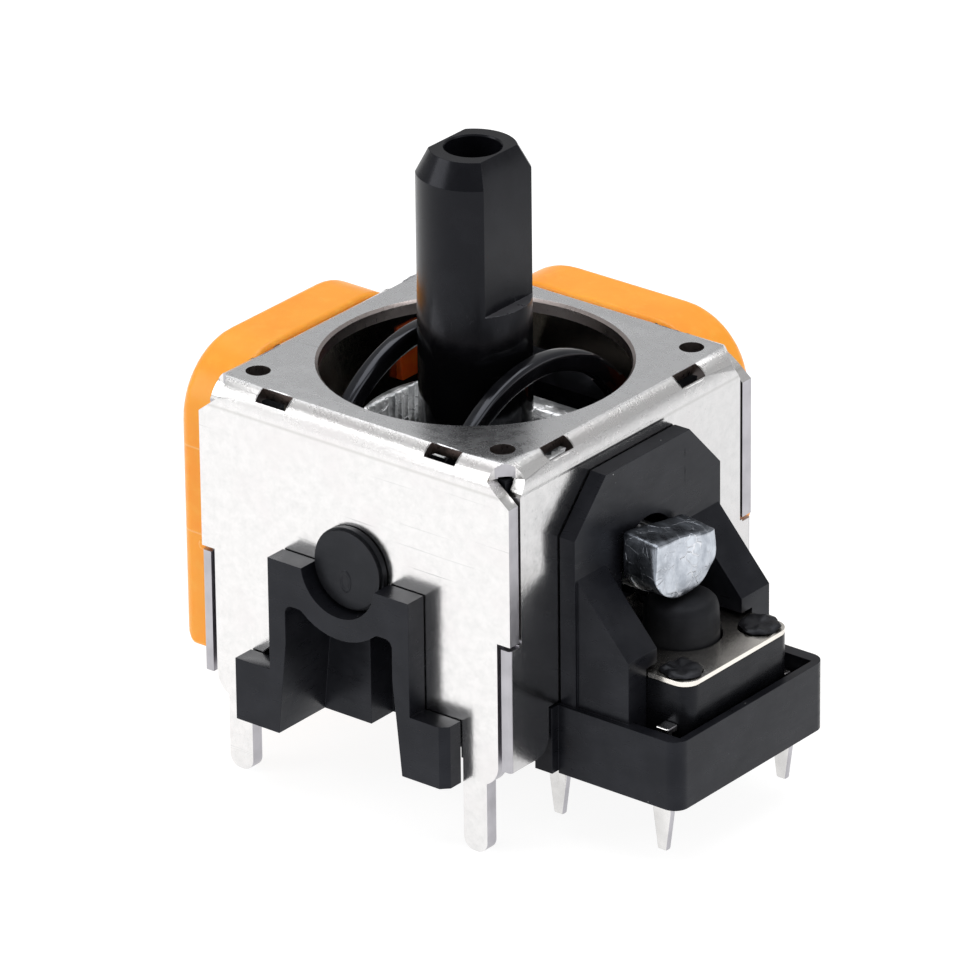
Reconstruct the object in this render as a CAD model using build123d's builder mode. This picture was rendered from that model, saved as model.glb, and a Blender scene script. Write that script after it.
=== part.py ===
from build123d import *
import os

os.makedirs("parts", exist_ok=True)

# Frame: millimetres, z = 0 on the circuit board, the stick's axis at x = y = 0,
# the push switch on +X, the journal bracket on -Y, the resistors on -X and +Y

# Clearances
FIT = 0.05  # running fit on a radius, and a key in its slot
PRESS = 0.01  # pieces that are fixed in one another
GAP = 0.1  # free gap between neighbouring pieces

# Sheet-steel shell
SHEET = 0.5
SHELL_HALF = 6.8
SHELL_TOP = 12.2
SHELL_BOTTOM = 0.95
SHELL_INNER = SHELL_HALF - SHEET
NOTCH_Z = 5.65
LOWER_HALF = SHELL_HALF - 0.565
OPENING_R = SHELL_INNER - 0.85
OPENING_EDGE = 0.1
TOP_BEND_R = 0.9
SIDE_BEND_R = 0.12
HOLE_INSET_X = 1.44
HOLE_INSET_Y = 1.52
HOLE_R = 0.44
WINDOW_INSET = 3.1
WINDOW_AT = SHELL_HALF - WINDOW_INSET
WINDOW_WIDTH = 1.5
WINDOW_DEPTH = 0.9
WINDOW_HEIGHT = 0.7
CORNER_TOP = 11.65
CORNER_LOW = 10.87
CORNER_R = 0.98
UPPER_SEAM = 0.13
LOWER_SEAM = 0.17
MIDDLE_SEAM = 0.16
LEG_OUTER = SHELL_HALF - 1.07
LEG_WIDTH = 1.03
LEG_TIP_Z = -2.47
LEG_END_R = 0.45
LEG_OVERLAP = 0.9
LEG_WEB_WIDTH = 0.5
LEG_WEB_DROP = 0.7
LEG_WEB_R = 0.9

# Stick
STICK_R = 2.0
STICK_TOP = 20.18
FLAT_HALF = 1.5
FLAT_BOTTOM = 14.6
STICK_BOTTOM = 4.4
STICK_FOOT_R = 1.1
STICK_FOOT_RISE = 0.8
STICK_CHAMFER_Z = 0.87
STICK_CHAMFER_R = 0.47
FLAT_TAPER = 0.35
STICK_BORE_R = 1.0
STICK_BORE_DEPTH = 6.0
PIN_R = 0.75
PIN_CHAMFER = 0.1

# Rockers
PIVOT_Z = 6.85
ARCH_OUTER_R = SHELL_INNER - 0.25
ARCH_INNER_R = ARCH_OUTER_R - 0.75
ARCH_HALF_WIDTH = 2.85
ARCH_SLOT_HALF = STICK_R + 0.26
ARCH_SLOT_END = ARCH_INNER_R - 0.7
ARCH_SLOT_RISE = 1.0
HUB_R = 1.7
NECK_R = 1.2
DISC_R = 1.52
DISC_FACE_R = 1.43
DISC_FACE_Y = SHELL_HALF + 0.37
DISC_STEP = 0.12

# Cast rocker
FRAME_R = ARCH_INNER_R - 0.25
FRAME_HALF_X = FRAME_R - 0.65
FRAME_HALF_Y = 2.95
FRAME_DROP = 1.2
FRAME_RISE = 2.95
WELL_HALF_X = FRAME_HALF_X - 0.8
WELL_HALF_Y = STICK_R + 0.08
PIN_HALF = FRAME_HALF_Y - GAP
HEAD_BACK_X = SHELL_HALF + 1.1
HEAD_FACE_X = HEAD_BACK_X + 1.35
HEAD_HALF = 1.65
HEAD_TOP = 8.0
HEAD_SLANT = 0.38
HEAD_BELLY_R = 1.9
HEAD_BOTTOM = 5.77
KEY_BAR_X = SHELL_INNER - GAP
GROOVE_PITCH = 0.36
GROOVE_DEPTH = 0.16
GROOVE_COUNT = 10
HEAD_EDGE = 0.12

# Spring and its seat
FLOOR_TOP = 1.75
SEAT_R = 3.1
SEAT_TOP = 4.12
SEAT_UNDER = 3.4
SEAT_CHAMFER = 0.3
SKIRT_WALL = 0.45
SKIRT_DROP = 0.8
SPRING_R = SEAT_R - 1.0
WIRE_R = 0.2
SPRING_PITCH = 0.8
GUIDE_R = 0.75
PAD_R = 2.4
POST_R = SPRING_R - 0.65
POST_RISE = 1.1
GUIDE_END_Z = 1.5

# Bracket on the moulding, round the journal disc
BRACKET_FACE_Y = SHELL_HALF + 0.9
BRACKET_HALF = 3.1
BRACKET_TOP = 6.65
BRACKET_NECK_HALF = BRACKET_HALF - 0.25
BRACKET_NECK_TOP = BRACKET_TOP - 0.3
CRADLE_R = 1.62
CRADLE_BAND_R = 2.45
ARCH_HOLE_HALF = 2.36
ARCH_HOLE_TOP = 5.05
ARCH_HOLE_BEND_Z = 3.55
ARCH_HOLE_SPREAD = 0.38
ARCH_HOLE_R = 0.3
WEB_X = -0.64
WEB_HALF = 0.25
WEB_BACK_Y = SEAT_R + 0.9
BRACKET_DEPTH_Y = WEB_BACK_Y + 1.2
FOOT_HALF = LEG_OUTER - LEG_WIDTH - FIT
CUT_FOOT_HALF = FOOT_HALF - 0.02
FOOT_TOP = 2.35
FOOT_CHAMFER = 0.28
CUT_SHOULDER_Z = 3.5
CUT_FOOT_Z = 1.95

# Inside of the moulding
BASE_HALF = SHELL_INNER - GAP
POST_SIDE = 1.5
LOW_WALL_TOP = 4.8
LOW_WALL = 0.6
LOW_WALL_HALF = BASE_HALF - 1.0

# Switch holder
HOLDER_BACK_X = SHELL_HALF - 1.2
HOLDER_NECK_HALF = 3.2
HOLDER_NECK_TOP = 9.5
HOLDER_SLOT_HALF = 1.5
PLATE_X = SHELL_HALF + 0.7
PLATE_HALF = 4.1
PLATE_TOP = 10.75
PLATE_TOP_HALF = 2.35
PLATE_SHOULDER_Z = 8.9
CHEEK_REACH = 2.9
CHEEK_X = SHELL_HALF + CHEEK_REACH
CHEEK_OUTER = 4.0
CHEEK_INNER = 2.4
CHEEK_TOP = 7.4
CHEEK_LOW = 4.9
TRAY_REACH = 5.2
TRAY_X = SHELL_HALF + TRAY_REACH
TRAY_HALF = 4.25
TRAY_TOP = 2.6
TRAY_FLOOR = 0.7
TRAY_WALL = 0.5
TRAY_END_WALL = 0.3
TRAY_CORNER_R = 0.55
BLOCK_HALF = 4.6
BLOCK_CORNER_R = 0.7

# Push switch
SWITCH_REACH = 1.7
SWITCH_X = SHELL_HALF + SWITCH_REACH
SWITCH_HALF = 2.95
SWITCH_CORNER_R = 0.6
SWITCH_COVER_TOP = 4.2
COVER_SHEET = 0.18
SWITCH_BODY_TOP = 4.0
BUTTON_R = 1.33
BUTTON_SHIFT_X = 0.3
BUTTON_SHIFT_Y = 0.15
FLANGE_R = 1.75
BUTTON_TOP = 5.68
BUTTON_FLANGE_Z = 3.3
BUTTON_FLANGE = 0.5
BUTTON_EDGE = 0.28
DOME_R = 2.2
DOME_TOP = 2.6
DOME_SHEET = 0.1
DOME_SEAT_Z = 2.0
DOME_DROP = 0.48
STAKE_TOP = 4.3
STAKE_PITCH = 2.1
STAKE_R = 0.68
PIN_SPACING_X = 4.5
PIN_Y = 3.4
PIN_TIP_Z = -2.05
PIN_SHEET = 0.25
PIN_BEND_Z = 2.62
PIN_NECK = 0.55
PIN_NECK_Z = 1.0
PIN_WIDTH = 0.8
PIN_TAPER_Z = -0.6

# Resistors, drawn for +Y and turned a quarter for -X
POT_REACH = 2.4
POT_FACE = SHELL_HALF + POT_REACH
POT_BACK = SHELL_HALF + FIT
POT_HALF_BOTTOM = 4.85
POT_HALF_TOP = POT_HALF_BOTTOM + 0.3
POT_TOP = 11.95
POT_BOTTOM = 0.8
POT_CORNER_R = 2.7
POT_WALL = 0.75
POT_EDGE = 0.35
ROTOR_R = 3.3
ROTOR_HUB_R = 1.65
ROTOR_BACK = SHELL_HALF + 0.25
ROTOR_FACE = ROTOR_BACK + 0.55
KEY_HALF = 0.7
KEY_RISE = 0.55
KEY_KNUCKLE_X = SHELL_HALF + 0.2
KEY_END = ROTOR_FACE - 0.15
HUB_END_Y = SHELL_INNER + FIT
TERMINAL_PITCH = 2.5
TERMINAL_TIP_Z = -2.1
TERMINAL_TAPER = 0.7
TERMINAL_WIDTH = 0.8
TERMINAL_SHEET = 0.28
TERMINAL_Y = SHELL_HALF + 1.15
TERMINAL_TOP = 3.0
TRACK_R = 2.5
TRACK_HALF = 0.3
TRACK_RISE = 0.04
TRACK_GAP = 3.0
BRUSH_SHEET = 0.12
BRUSH_OUTER_R = 2.9
BRUSH_INNER_R = 2.1
CONTACT_R = 0.28
BOARD_SHEET = 0.3
BOARD_HALF = POT_HALF_BOTTOM - POT_WALL - 2 * GAP
BOARD_TOP = 11.0
BOARD_BOTTOM = 2.6
BOARD_CORNER = 1.2
HOOK_REACH = 6.45
HOOK_DEPTH = 0.5
HOOK_HEIGHT = 0.45
HOOK_DROP = 0.42


def save(part, name):
    """Label a finished piece and write it as its own file."""
    part.label = name
    export_step(part, f"parts/{name}.step")


def turned(part):
    """The same piece on the -X side."""
    return part.rotate(Axis.Z, 90)


# Shell: two stacked prisms hollowed out, so the upper walls butt and the lower ones wrap the corners
with BuildPart() as shell:
    with BuildSketch(Plane.XY.offset(NOTCH_Z)):
        Rectangle(2 * SHELL_HALF, 2 * SHELL_HALF)
    extrude(amount=SHELL_TOP - NOTCH_Z)
    fillet(shell.edges().group_by(Axis.Z)[-1], TOP_BEND_R)
    with BuildSketch(Plane.XY.offset(SHELL_BOTTOM)):
        RectangleRounded(2 * SHELL_HALF, 2 * SHELL_HALF, SIDE_BEND_R)
    extrude(amount=NOTCH_Z - SHELL_BOTTOM)
    with BuildSketch(Plane.XY.offset(SHELL_BOTTOM)):
        Rectangle(2 * SHELL_INNER, 2 * SHELL_INNER)
    extrude(amount=SHELL_TOP - SHEET - SHELL_BOTTOM, mode=Mode.SUBTRACT)

    # Round opening with a broken edge
    with BuildSketch(Plane.XY.offset(SHELL_TOP)):
        Circle(OPENING_R)
    extrude(amount=-2 * SHEET, mode=Mode.SUBTRACT)
    rim = shell.edges().filter_by(GeomType.CIRCLE).filter_by(
        lambda edge: abs(edge.radius - OPENING_R) < 0.01 and edge.center().Z > SHELL_TOP - 0.01
    )
    chamfer(rim, OPENING_EDGE)

    # Four small locating holes in the top
    with BuildSketch(Plane.XY.offset(SHELL_TOP)):
        with GridLocations(2 * (SHELL_HALF - HOLE_INSET_X), 2 * (SHELL_HALF - HOLE_INSET_Y), 2, 2):
            Circle(HOLE_R)
    extrude(amount=-2 * SHEET, mode=Mode.SUBTRACT)

    # Windows at the bends, two in each top edge
    window_y = WINDOW_DEPTH / 2 - SHELL_HALF
    for turn in range(4):
        with BuildSketch(Plane.XY.offset(SHELL_TOP).rotated((0, 0, 90 * turn))):
            with Locations((-WINDOW_AT, window_y), (WINDOW_AT, window_y)):
                Rectangle(WINDOW_WIDTH, WINDOW_DEPTH)
        extrude(amount=-WINDOW_HEIGHT, mode=Mode.SUBTRACT)

    # Open corners: relief through the top plate, the walls' edges slanting away below it
    with BuildSketch(Plane.XY.offset(CORNER_TOP)):
        with GridLocations(2 * SHELL_HALF, 2 * SHELL_HALF, 2, 2):
            Circle(CORNER_R)
    extrude(amount=SHELL_TOP - CORNER_TOP, mode=Mode.SUBTRACT)
    for wall in (Plane.XZ.offset(SHELL_INNER - FIT), Plane.XZ.offset(-SHELL_HALF - FIT)):
        with BuildSketch(wall):
            with BuildLine():
                Polyline(
                    (SHELL_HALF + GAP, CORNER_TOP),
                    (SHELL_HALF - CORNER_R, CORNER_TOP),
                    (SHELL_HALF, CORNER_LOW),
                    (SHELL_HALF + GAP, CORNER_LOW),
                    close=True,
                )
            make_face()
            mirror(about=Plane.YZ)
        extrude(amount=SHEET + 2 * FIT, mode=Mode.SUBTRACT)
    for wall in (Plane.YZ.offset(SHELL_INNER - FIT), Plane.YZ.offset(-SHELL_HALF - FIT)):
        with BuildSketch(wall):
            with BuildLine():
                Polyline(
                    (SHELL_INNER, CORNER_TOP),
                    (SHELL_HALF - CORNER_R, CORNER_TOP),
                    (SHELL_INNER, CORNER_LOW),
                    close=True,
                )
            make_face()
            mirror(about=Plane.YZ)
        extrude(amount=SHEET + 2 * FIT, mode=Mode.SUBTRACT)

    # Seams: the +-X walls stop short of the +-Y walls above, and wrap past them below
    with BuildSketch(Plane.XY.offset(NOTCH_Z)):
        with GridLocations(2 * SHELL_HALF - SHEET, 2 * SHELL_INNER - UPPER_SEAM, 2, 2):
            Rectangle(SHEET + GAP, UPPER_SEAM)
    extrude(amount=CORNER_TOP - NOTCH_Z, mode=Mode.SUBTRACT)
    with BuildSketch(Plane.XY.offset(SHELL_BOTTOM)):
        with GridLocations(2 * LOWER_HALF + LOWER_SEAM, 2 * SHELL_HALF - SHEET, 2, 2):
            Rectangle(LOWER_SEAM, SHEET + GAP)
    extrude(amount=NOTCH_Z - SHELL_BOTTOM, mode=Mode.SUBTRACT)
    with BuildSketch(Plane.XY.offset(NOTCH_Z - MIDDLE_SEAM / 2)):
        with GridLocations(2 * SHELL_HALF, 2 * SHELL_HALF, 2, 2):
            Rectangle(2 * (SHELL_HALF - LOWER_HALF), 2 * SHEET)
    extrude(amount=MIDDLE_SEAM, mode=Mode.SUBTRACT)

    # Four legs, stamped with the +-Y walls
    leg_mid = LEG_OUTER - LEG_WIDTH / 2
    leg_root = SHELL_BOTTOM + LEG_OVERLAP
    web_end = LEG_OUTER + LEG_WEB_WIDTH
    web_low = SHELL_BOTTOM - LEG_WEB_DROP
    for inner_face in (Plane.XZ.offset(SHELL_INNER), Plane.XZ.offset(-SHELL_HALF)):
        with BuildSketch(inner_face):
            with Locations((leg_mid, (leg_root + LEG_TIP_Z) / 2), (-leg_mid, (leg_root + LEG_TIP_Z) / 2)):
                RectangleRounded(LEG_WIDTH, leg_root - LEG_TIP_Z, LEG_END_R)
            with BuildLine():
                Line((LEG_OUTER, SHELL_BOTTOM), (web_end, SHELL_BOTTOM))
                RadiusArc((web_end, SHELL_BOTTOM), (LEG_OUTER, web_low), LEG_WEB_R)
                Line((LEG_OUTER, web_low), (LEG_OUTER, SHELL_BOTTOM))
            make_face()
            mirror(about=Plane.YZ)
        extrude(amount=SHEET)

    # Cut-out behind the bracket, a little inside its outline, with the journal notch above it
    with BuildSketch(Plane.XZ.offset(SHELL_INNER - GAP)):
        with Locations((0, (SHELL_BOTTOM + BRACKET_NECK_TOP) / 2)):
            Rectangle(2 * (BRACKET_NECK_HALF + GAP), BRACKET_NECK_TOP - SHELL_BOTTOM + 2 * GAP)
        with Locations((0, (SHELL_BOTTOM + CUT_FOOT_Z) / 2)):
            Rectangle(2 * CUT_FOOT_HALF, CUT_FOOT_Z - SHELL_BOTTOM)
        with BuildLine():
            Polyline(
                (CUT_FOOT_HALF, CUT_FOOT_Z),
                (BRACKET_NECK_HALF + GAP, CUT_SHOULDER_Z),
                (BRACKET_NECK_HALF, CUT_FOOT_Z),
                close=True,
            )
        make_face()
        mirror(about=Plane.YZ)
        with Locations((0, PIVOT_Z)):
            Circle(NECK_R + FIT)
    extrude(amount=SHEET + 2 * GAP, mode=Mode.SUBTRACT)

    # Cut-out behind the switch holder, wider at the foot for the tray's root
    root_edge = BLOCK_HALF + GAP
    with BuildSketch(Plane.YZ.offset(SHELL_INNER - GAP)):
        with Locations((0, (SHELL_BOTTOM + HOLDER_NECK_TOP) / 2)):
            Rectangle(2 * (HOLDER_NECK_HALF + GAP), HOLDER_NECK_TOP - SHELL_BOTTOM + 2 * GAP)
        with Locations((0, (SHELL_BOTTOM + TRAY_TOP + GAP) / 2)):
            Rectangle(2 * root_edge, TRAY_TOP + GAP - SHELL_BOTTOM)
    extrude(amount=SHEET + 2 * GAP, mode=Mode.SUBTRACT)
    wall_corners = shell.edges().filter_by(Axis.X).filter_by(
        lambda edge: abs(abs(edge.center().Y) - root_edge) < 0.01 and edge.center().Z < SHELL_BOTTOM + 0.01
    )
    fillet(wall_corners, BLOCK_CORNER_R)

    # Rotor notches in the two resistor walls, open below so the shell drops over the rotors
    for wall in (Plane.YZ.offset(-SHELL_HALF - GAP), Plane.XZ.offset(-SHELL_HALF - GAP)):
        with BuildSketch(wall):
            with Locations((0, PIVOT_Z)):
                Circle(ROTOR_HUB_R + FIT)
            with Locations((0, (PIVOT_Z + SHELL_BOTTOM) / 2)):
                Rectangle(2 * (ROTOR_HUB_R + FIT), PIVOT_Z - SHELL_BOTTOM + GAP)
        extrude(amount=SHEET + 2 * GAP, mode=Mode.SUBTRACT)

save(shell.part, "shell")

# Moulding: floor, corner posts and low walls under the rotors
with BuildPart() as base_housing:
    with BuildSketch(Plane.XY.offset(SHELL_BOTTOM)):
        Rectangle(2 * BASE_HALF, 2 * BASE_HALF)
    extrude(amount=FLOOR_TOP - SHELL_BOTTOM)
    with BuildSketch(Plane.XY.offset(FLOOR_TOP)):
        with GridLocations(2 * BASE_HALF - POST_SIDE, 2 * BASE_HALF - POST_SIDE, 2, 2):
            Rectangle(POST_SIDE, POST_SIDE)
    extrude(amount=SHELL_TOP - SHEET - GAP - FLOOR_TOP)
    with BuildSketch(Plane.XY.offset(FLOOR_TOP)):
        with Locations((LOW_WALL / 2 - BASE_HALF, 0)):
            Rectangle(LOW_WALL, 2 * LOW_WALL_HALF)
        with Locations((0, BASE_HALF - LOW_WALL / 2)):
            Rectangle(2 * LOW_WALL_HALF, LOW_WALL)
    extrude(amount=LOW_WALL_TOP - FLOOR_TOP)

    # Journal bracket: legs and feet in front of the wall, a narrower neck through it
    with BuildSketch(Plane.XZ.offset(SHELL_HALF + FIT)):
        with BuildLine():
            Polyline(
                (BRACKET_HALF, BRACKET_TOP),
                (BRACKET_HALF, FOOT_TOP),
                (FOOT_HALF, FOOT_TOP),
                (FOOT_HALF, 0),
                (-FOOT_HALF, 0),
                (-FOOT_HALF, FOOT_TOP),
                (-BRACKET_HALF, FOOT_TOP),
                (-BRACKET_HALF, BRACKET_TOP),
                close=True,
            )
        make_face()
    extrude(amount=BRACKET_FACE_Y - SHELL_HALF - FIT)
    foot_edges = base_housing.edges().filter_by(Axis.Z).filter_by(
        lambda edge: abs(edge.center().X - FOOT_HALF) < 0.01 and edge.center().Y < 0.01 - BRACKET_FACE_Y
    )
    chamfer(foot_edges, FOOT_CHAMFER)
    with BuildSketch(Plane.XZ.offset(ARCH_OUTER_R + GAP)):
        with Locations((0, BRACKET_NECK_TOP / 2)):
            Rectangle(2 * BRACKET_NECK_HALF, BRACKET_NECK_TOP)
    extrude(amount=SHELL_HALF - ARCH_OUTER_R)
    with BuildSketch(Plane.XZ.offset(BRACKET_DEPTH_Y)):
        with Locations((0, LOW_WALL_TOP / 2)):
            Rectangle(2 * BRACKET_NECK_HALF, LOW_WALL_TOP)
    extrude(amount=ARCH_OUTER_R + GAP - BRACKET_DEPTH_Y)

    # Inverted-U hole under the cradle band, right through the bracket
    with BuildSketch(Plane.XZ.offset(BRACKET_DEPTH_Y)) as arch_hole:
        with BuildLine():
            Polyline(
                (ARCH_HOLE_HALF, ARCH_HOLE_TOP),
                (ARCH_HOLE_HALF, ARCH_HOLE_BEND_Z),
                (ARCH_HOLE_HALF + ARCH_HOLE_SPREAD, -GAP),
                (-ARCH_HOLE_HALF - ARCH_HOLE_SPREAD, -GAP),
                (-ARCH_HOLE_HALF, ARCH_HOLE_BEND_Z),
                (-ARCH_HOLE_HALF, ARCH_HOLE_TOP),
                close=True,
            )
        make_face()
        with Locations((0, PIVOT_Z)):
            Circle(CRADLE_BAND_R, mode=Mode.SUBTRACT)
        fillet(arch_hole.vertices().group_by(Axis.Y)[-1], ARCH_HOLE_R)
    extrude(amount=BRACKET_FACE_Y, mode=Mode.SUBTRACT)

    # Cradle for the disc in front, saddle for the neck behind
    with BuildSketch(Plane.XZ.offset(BRACKET_FACE_Y)):
        with Locations((0, PIVOT_Z)):
            Circle(CRADLE_R)
    extrude(amount=SHELL_HALF - BRACKET_FACE_Y, mode=Mode.SUBTRACT)
    with BuildSketch(Plane.XZ.offset(SHELL_HALF)):
        with Locations((0, PIVOT_Z)):
            Circle(NECK_R + FIT)
    extrude(amount=-SHELL_HALF / 2, mode=Mode.SUBTRACT)

    # Floor cut away in front of the deeper half of the web
    with BuildSketch(Plane.XY.offset(SHELL_BOTTOM)):
        with Locations(((WEB_X + ARCH_HOLE_HALF) / 2, -(WEB_BACK_Y + BASE_HALF) / 2)):
            Rectangle(ARCH_HOLE_HALF - WEB_X, BASE_HALF - WEB_BACK_Y)
    extrude(amount=FLOOR_TOP - SHELL_BOTTOM, mode=Mode.SUBTRACT)

    # Stepped web inside the bracket
    with BuildSketch(Plane.XY):
        with BuildLine():
            Polyline(
                (-BRACKET_NECK_HALF, WEB_HALF - BRACKET_DEPTH_Y),
                (WEB_X - WEB_HALF, WEB_HALF - BRACKET_DEPTH_Y),
                (WEB_X - WEB_HALF, WEB_HALF - WEB_BACK_Y),
                (BRACKET_NECK_HALF, WEB_HALF - WEB_BACK_Y),
            )
        trace(line_width=2 * WEB_HALF)
    extrude(amount=LOW_WALL_TOP)

    # Switch holder: neck through the shell, front plate, cheeks and tray
    with BuildSketch(Plane.YZ.offset(HOLDER_BACK_X)):
        with Locations((0, HOLDER_NECK_TOP / 2)):
            Rectangle(2 * HOLDER_NECK_HALF, HOLDER_NECK_TOP)
    extrude(amount=SHELL_HALF + FIT - HOLDER_BACK_X)
    with BuildSketch(Plane.YZ.offset(SHELL_HALF + FIT)):
        with BuildLine():
            Polyline(
                (-PLATE_HALF, 0),
                (-PLATE_HALF, PLATE_SHOULDER_Z),
                (-PLATE_TOP_HALF, PLATE_TOP),
                (PLATE_TOP_HALF, PLATE_TOP),
                (PLATE_HALF, PLATE_SHOULDER_Z),
                (PLATE_HALF, 0),
                close=True,
            )
        make_face()
    extrude(amount=PLATE_X - SHELL_HALF - FIT)
    for side in (-1, 1):
        with BuildSketch(Plane.XZ.offset(-side * CHEEK_INNER)):
            with BuildLine():
                Polyline(
                    (PLATE_X, CHEEK_TOP),
                    (CHEEK_X, CHEEK_LOW),
                    (CHEEK_X, 0),
                    (PLATE_X, 0),
                    close=True,
                )
            make_face()
        extrude(amount=-side * (CHEEK_OUTER - CHEEK_INNER))
    tray_centre = (SHELL_HALF + FIT + TRAY_X) / 2
    tray_length = TRAY_X - SHELL_HALF - FIT
    with BuildSketch(Plane.XY) as tray_outline:
        with Locations((tray_centre, 0)):
            Rectangle(tray_length, 2 * TRAY_HALF)
        fillet(tray_outline.vertices().group_by(Axis.X)[-1], TRAY_CORNER_R)
    extrude(amount=TRAY_TOP)
    with BuildSketch(Plane.YZ.offset(BASE_HALF - GAP)):
        with Locations((0, (TRAY_TOP + GAP) / 2)):
            Rectangle(2 * BLOCK_HALF, TRAY_TOP - GAP)
    extrude(amount=SHELL_HALF + FIT - BASE_HALF + GAP)

    # Pocket for the switch, the gutters for its pins and the slots they leave by
    with BuildSketch(Plane.XY.offset(TRAY_FLOOR)):
        with Locations((SWITCH_X, 0)):
            Rectangle(2 * (SWITCH_HALF + FIT), 2 * (SWITCH_HALF + FIT))
        with Locations(((CHEEK_X + TRAY_X - TRAY_END_WALL) / 2, 0)):
            Rectangle(TRAY_X - TRAY_END_WALL - CHEEK_X, 2 * (TRAY_HALF - TRAY_WALL))
    extrude(amount=STAKE_TOP + FIT - TRAY_FLOOR, mode=Mode.SUBTRACT)
    gutter_edge = TRAY_HALF - TRAY_WALL
    with BuildSketch(Plane.XY):
        with Locations((SWITCH_X, 0)):
            with GridLocations(PIN_SPACING_X, SWITCH_HALF + gutter_edge, 2, 2):
                Rectangle(PIN_WIDTH + 3 * GAP, gutter_edge - SWITCH_HALF)
    extrude(amount=PIN_BEND_Z + FIT, mode=Mode.SUBTRACT)

    # Opening for the rocker's neck, open down to the switch
    with BuildSketch(Plane.YZ.offset(HOLDER_BACK_X)):
        with Locations((0, PIVOT_Z)):
            Circle(HOLDER_SLOT_HALF)
        with Locations((0, (PIVOT_Z + SWITCH_COVER_TOP) / 2)):
            Rectangle(2 * HOLDER_SLOT_HALF, PIVOT_Z - SWITCH_COVER_TOP)
    extrude(amount=PLATE_X - HOLDER_BACK_X, mode=Mode.SUBTRACT)

    # Pad that rests on the board, and the spring post with a blind bore for the seat's guide pin
    with BuildSketch(Plane.XY):
        Circle(PAD_R)
    extrude(amount=SHELL_BOTTOM)
    with BuildSketch(Plane.XY.offset(FLOOR_TOP)):
        Circle(POST_R)
    extrude(amount=POST_RISE)
    with BuildSketch(Plane.XY.offset(SHELL_BOTTOM)):
        Circle(GUIDE_R + FIT)
    extrude(amount=FLOOR_TOP - SHELL_BOTTOM + POST_RISE, mode=Mode.SUBTRACT)

save(base_housing.part, "base_housing")

# Stick: turned stem with two flats, a chamfered top and a blind hole, coned at the foot
with BuildPart() as stick:
    with BuildSketch(Plane.XZ):
        with BuildLine():
            Polyline(
                (0, STICK_BOTTOM),
                (STICK_FOOT_R, STICK_BOTTOM),
                (STICK_R, STICK_BOTTOM + STICK_FOOT_RISE),
                (STICK_R, STICK_TOP - STICK_CHAMFER_Z),
                (STICK_R - STICK_CHAMFER_R, STICK_TOP),
                (0, STICK_TOP),
                close=True,
            )
        make_face()
    revolve(axis=Axis.Z)
    with BuildSketch(Plane.XZ):
        with BuildLine():
            Polyline(
                (FLAT_HALF, FLAT_BOTTOM),
                (FLAT_HALF, STICK_TOP - STICK_CHAMFER_Z),
                (FLAT_HALF - FLAT_TAPER, STICK_TOP),
                (STICK_R + GAP, STICK_TOP),
                (STICK_R + GAP, FLAT_BOTTOM),
                close=True,
            )
        make_face()
        mirror(about=Plane.YZ)
    extrude(amount=STICK_R, both=True, mode=Mode.SUBTRACT)
    with Locations((0, 0, STICK_TOP)):
        Hole(STICK_BORE_R, STICK_BORE_DEPTH)
    with BuildSketch(Plane.XZ.offset(-STICK_R)):
        with Locations((0, PIVOT_Z)):
            Circle(PIN_R + FIT)
    extrude(amount=2 * STICK_R, mode=Mode.SUBTRACT)

save(stick.part, "stick")

with BuildPart() as pivot_pin:
    with BuildSketch(Plane.XZ.offset(-PIN_HALF)):
        with Locations((0, PIVOT_Z)):
            Circle(PIN_R)
    extrude(amount=2 * PIN_HALF)
    chamfer(pivot_pin.edges(), PIN_CHAMFER)

save(pivot_pin.part, "pivot_pin")

# Upper rocker: arch along Y, slotted for the stick, a journal disc at one end and a key at the other
with BuildPart() as upper_rocker:
    with BuildSketch(Plane.YZ):
        with Locations((0, PIVOT_Z)):
            Circle(ARCH_OUTER_R)
            Circle(ARCH_INNER_R, mode=Mode.SUBTRACT)
        with Locations((0, PIVOT_Z - ARCH_OUTER_R / 2)):
            Rectangle(2 * ARCH_OUTER_R, ARCH_OUTER_R, mode=Mode.SUBTRACT)
    extrude(amount=ARCH_HALF_WIDTH, both=True)
    with BuildSketch(Plane.XY.offset(PIVOT_Z + ARCH_SLOT_RISE)):
        Rectangle(2 * ARCH_SLOT_HALF, 2 * ARCH_SLOT_END)
    extrude(amount=ARCH_OUTER_R, mode=Mode.SUBTRACT)
    for hub_face in (Plane.XZ.offset(ARCH_INNER_R), Plane.XZ.offset(-ARCH_OUTER_R)):
        with BuildSketch(hub_face):
            with Locations((0, PIVOT_Z)):
                Circle(HUB_R)
        extrude(amount=ARCH_OUTER_R - ARCH_INNER_R)
    with BuildSketch(Plane.XZ.offset(ARCH_OUTER_R - GAP)):
        with Locations((0, PIVOT_Z)):
            Circle(NECK_R)
    extrude(amount=DISC_FACE_Y - ARCH_OUTER_R)
    with BuildSketch(Plane.XZ.offset(SHELL_HALF + FIT)):
        with Locations((0, PIVOT_Z)):
            Circle(DISC_R)
    extrude(amount=DISC_FACE_Y - DISC_STEP - SHELL_HALF - FIT)
    with BuildSketch(Plane.XZ.offset(DISC_FACE_Y - DISC_STEP)):
        with Locations((0, PIVOT_Z)):
            Circle(DISC_FACE_R)
    extrude(amount=DISC_STEP)
    with BuildSketch(Plane.XZ.offset(-KEY_END)):
        with Locations((0, PIVOT_Z)):
            Rectangle(2 * KEY_HALF, 2 * KEY_RISE)
    extrude(amount=KEY_END - ARCH_OUTER_R + GAP)

save(upper_rocker.part, "upper_rocker")

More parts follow.
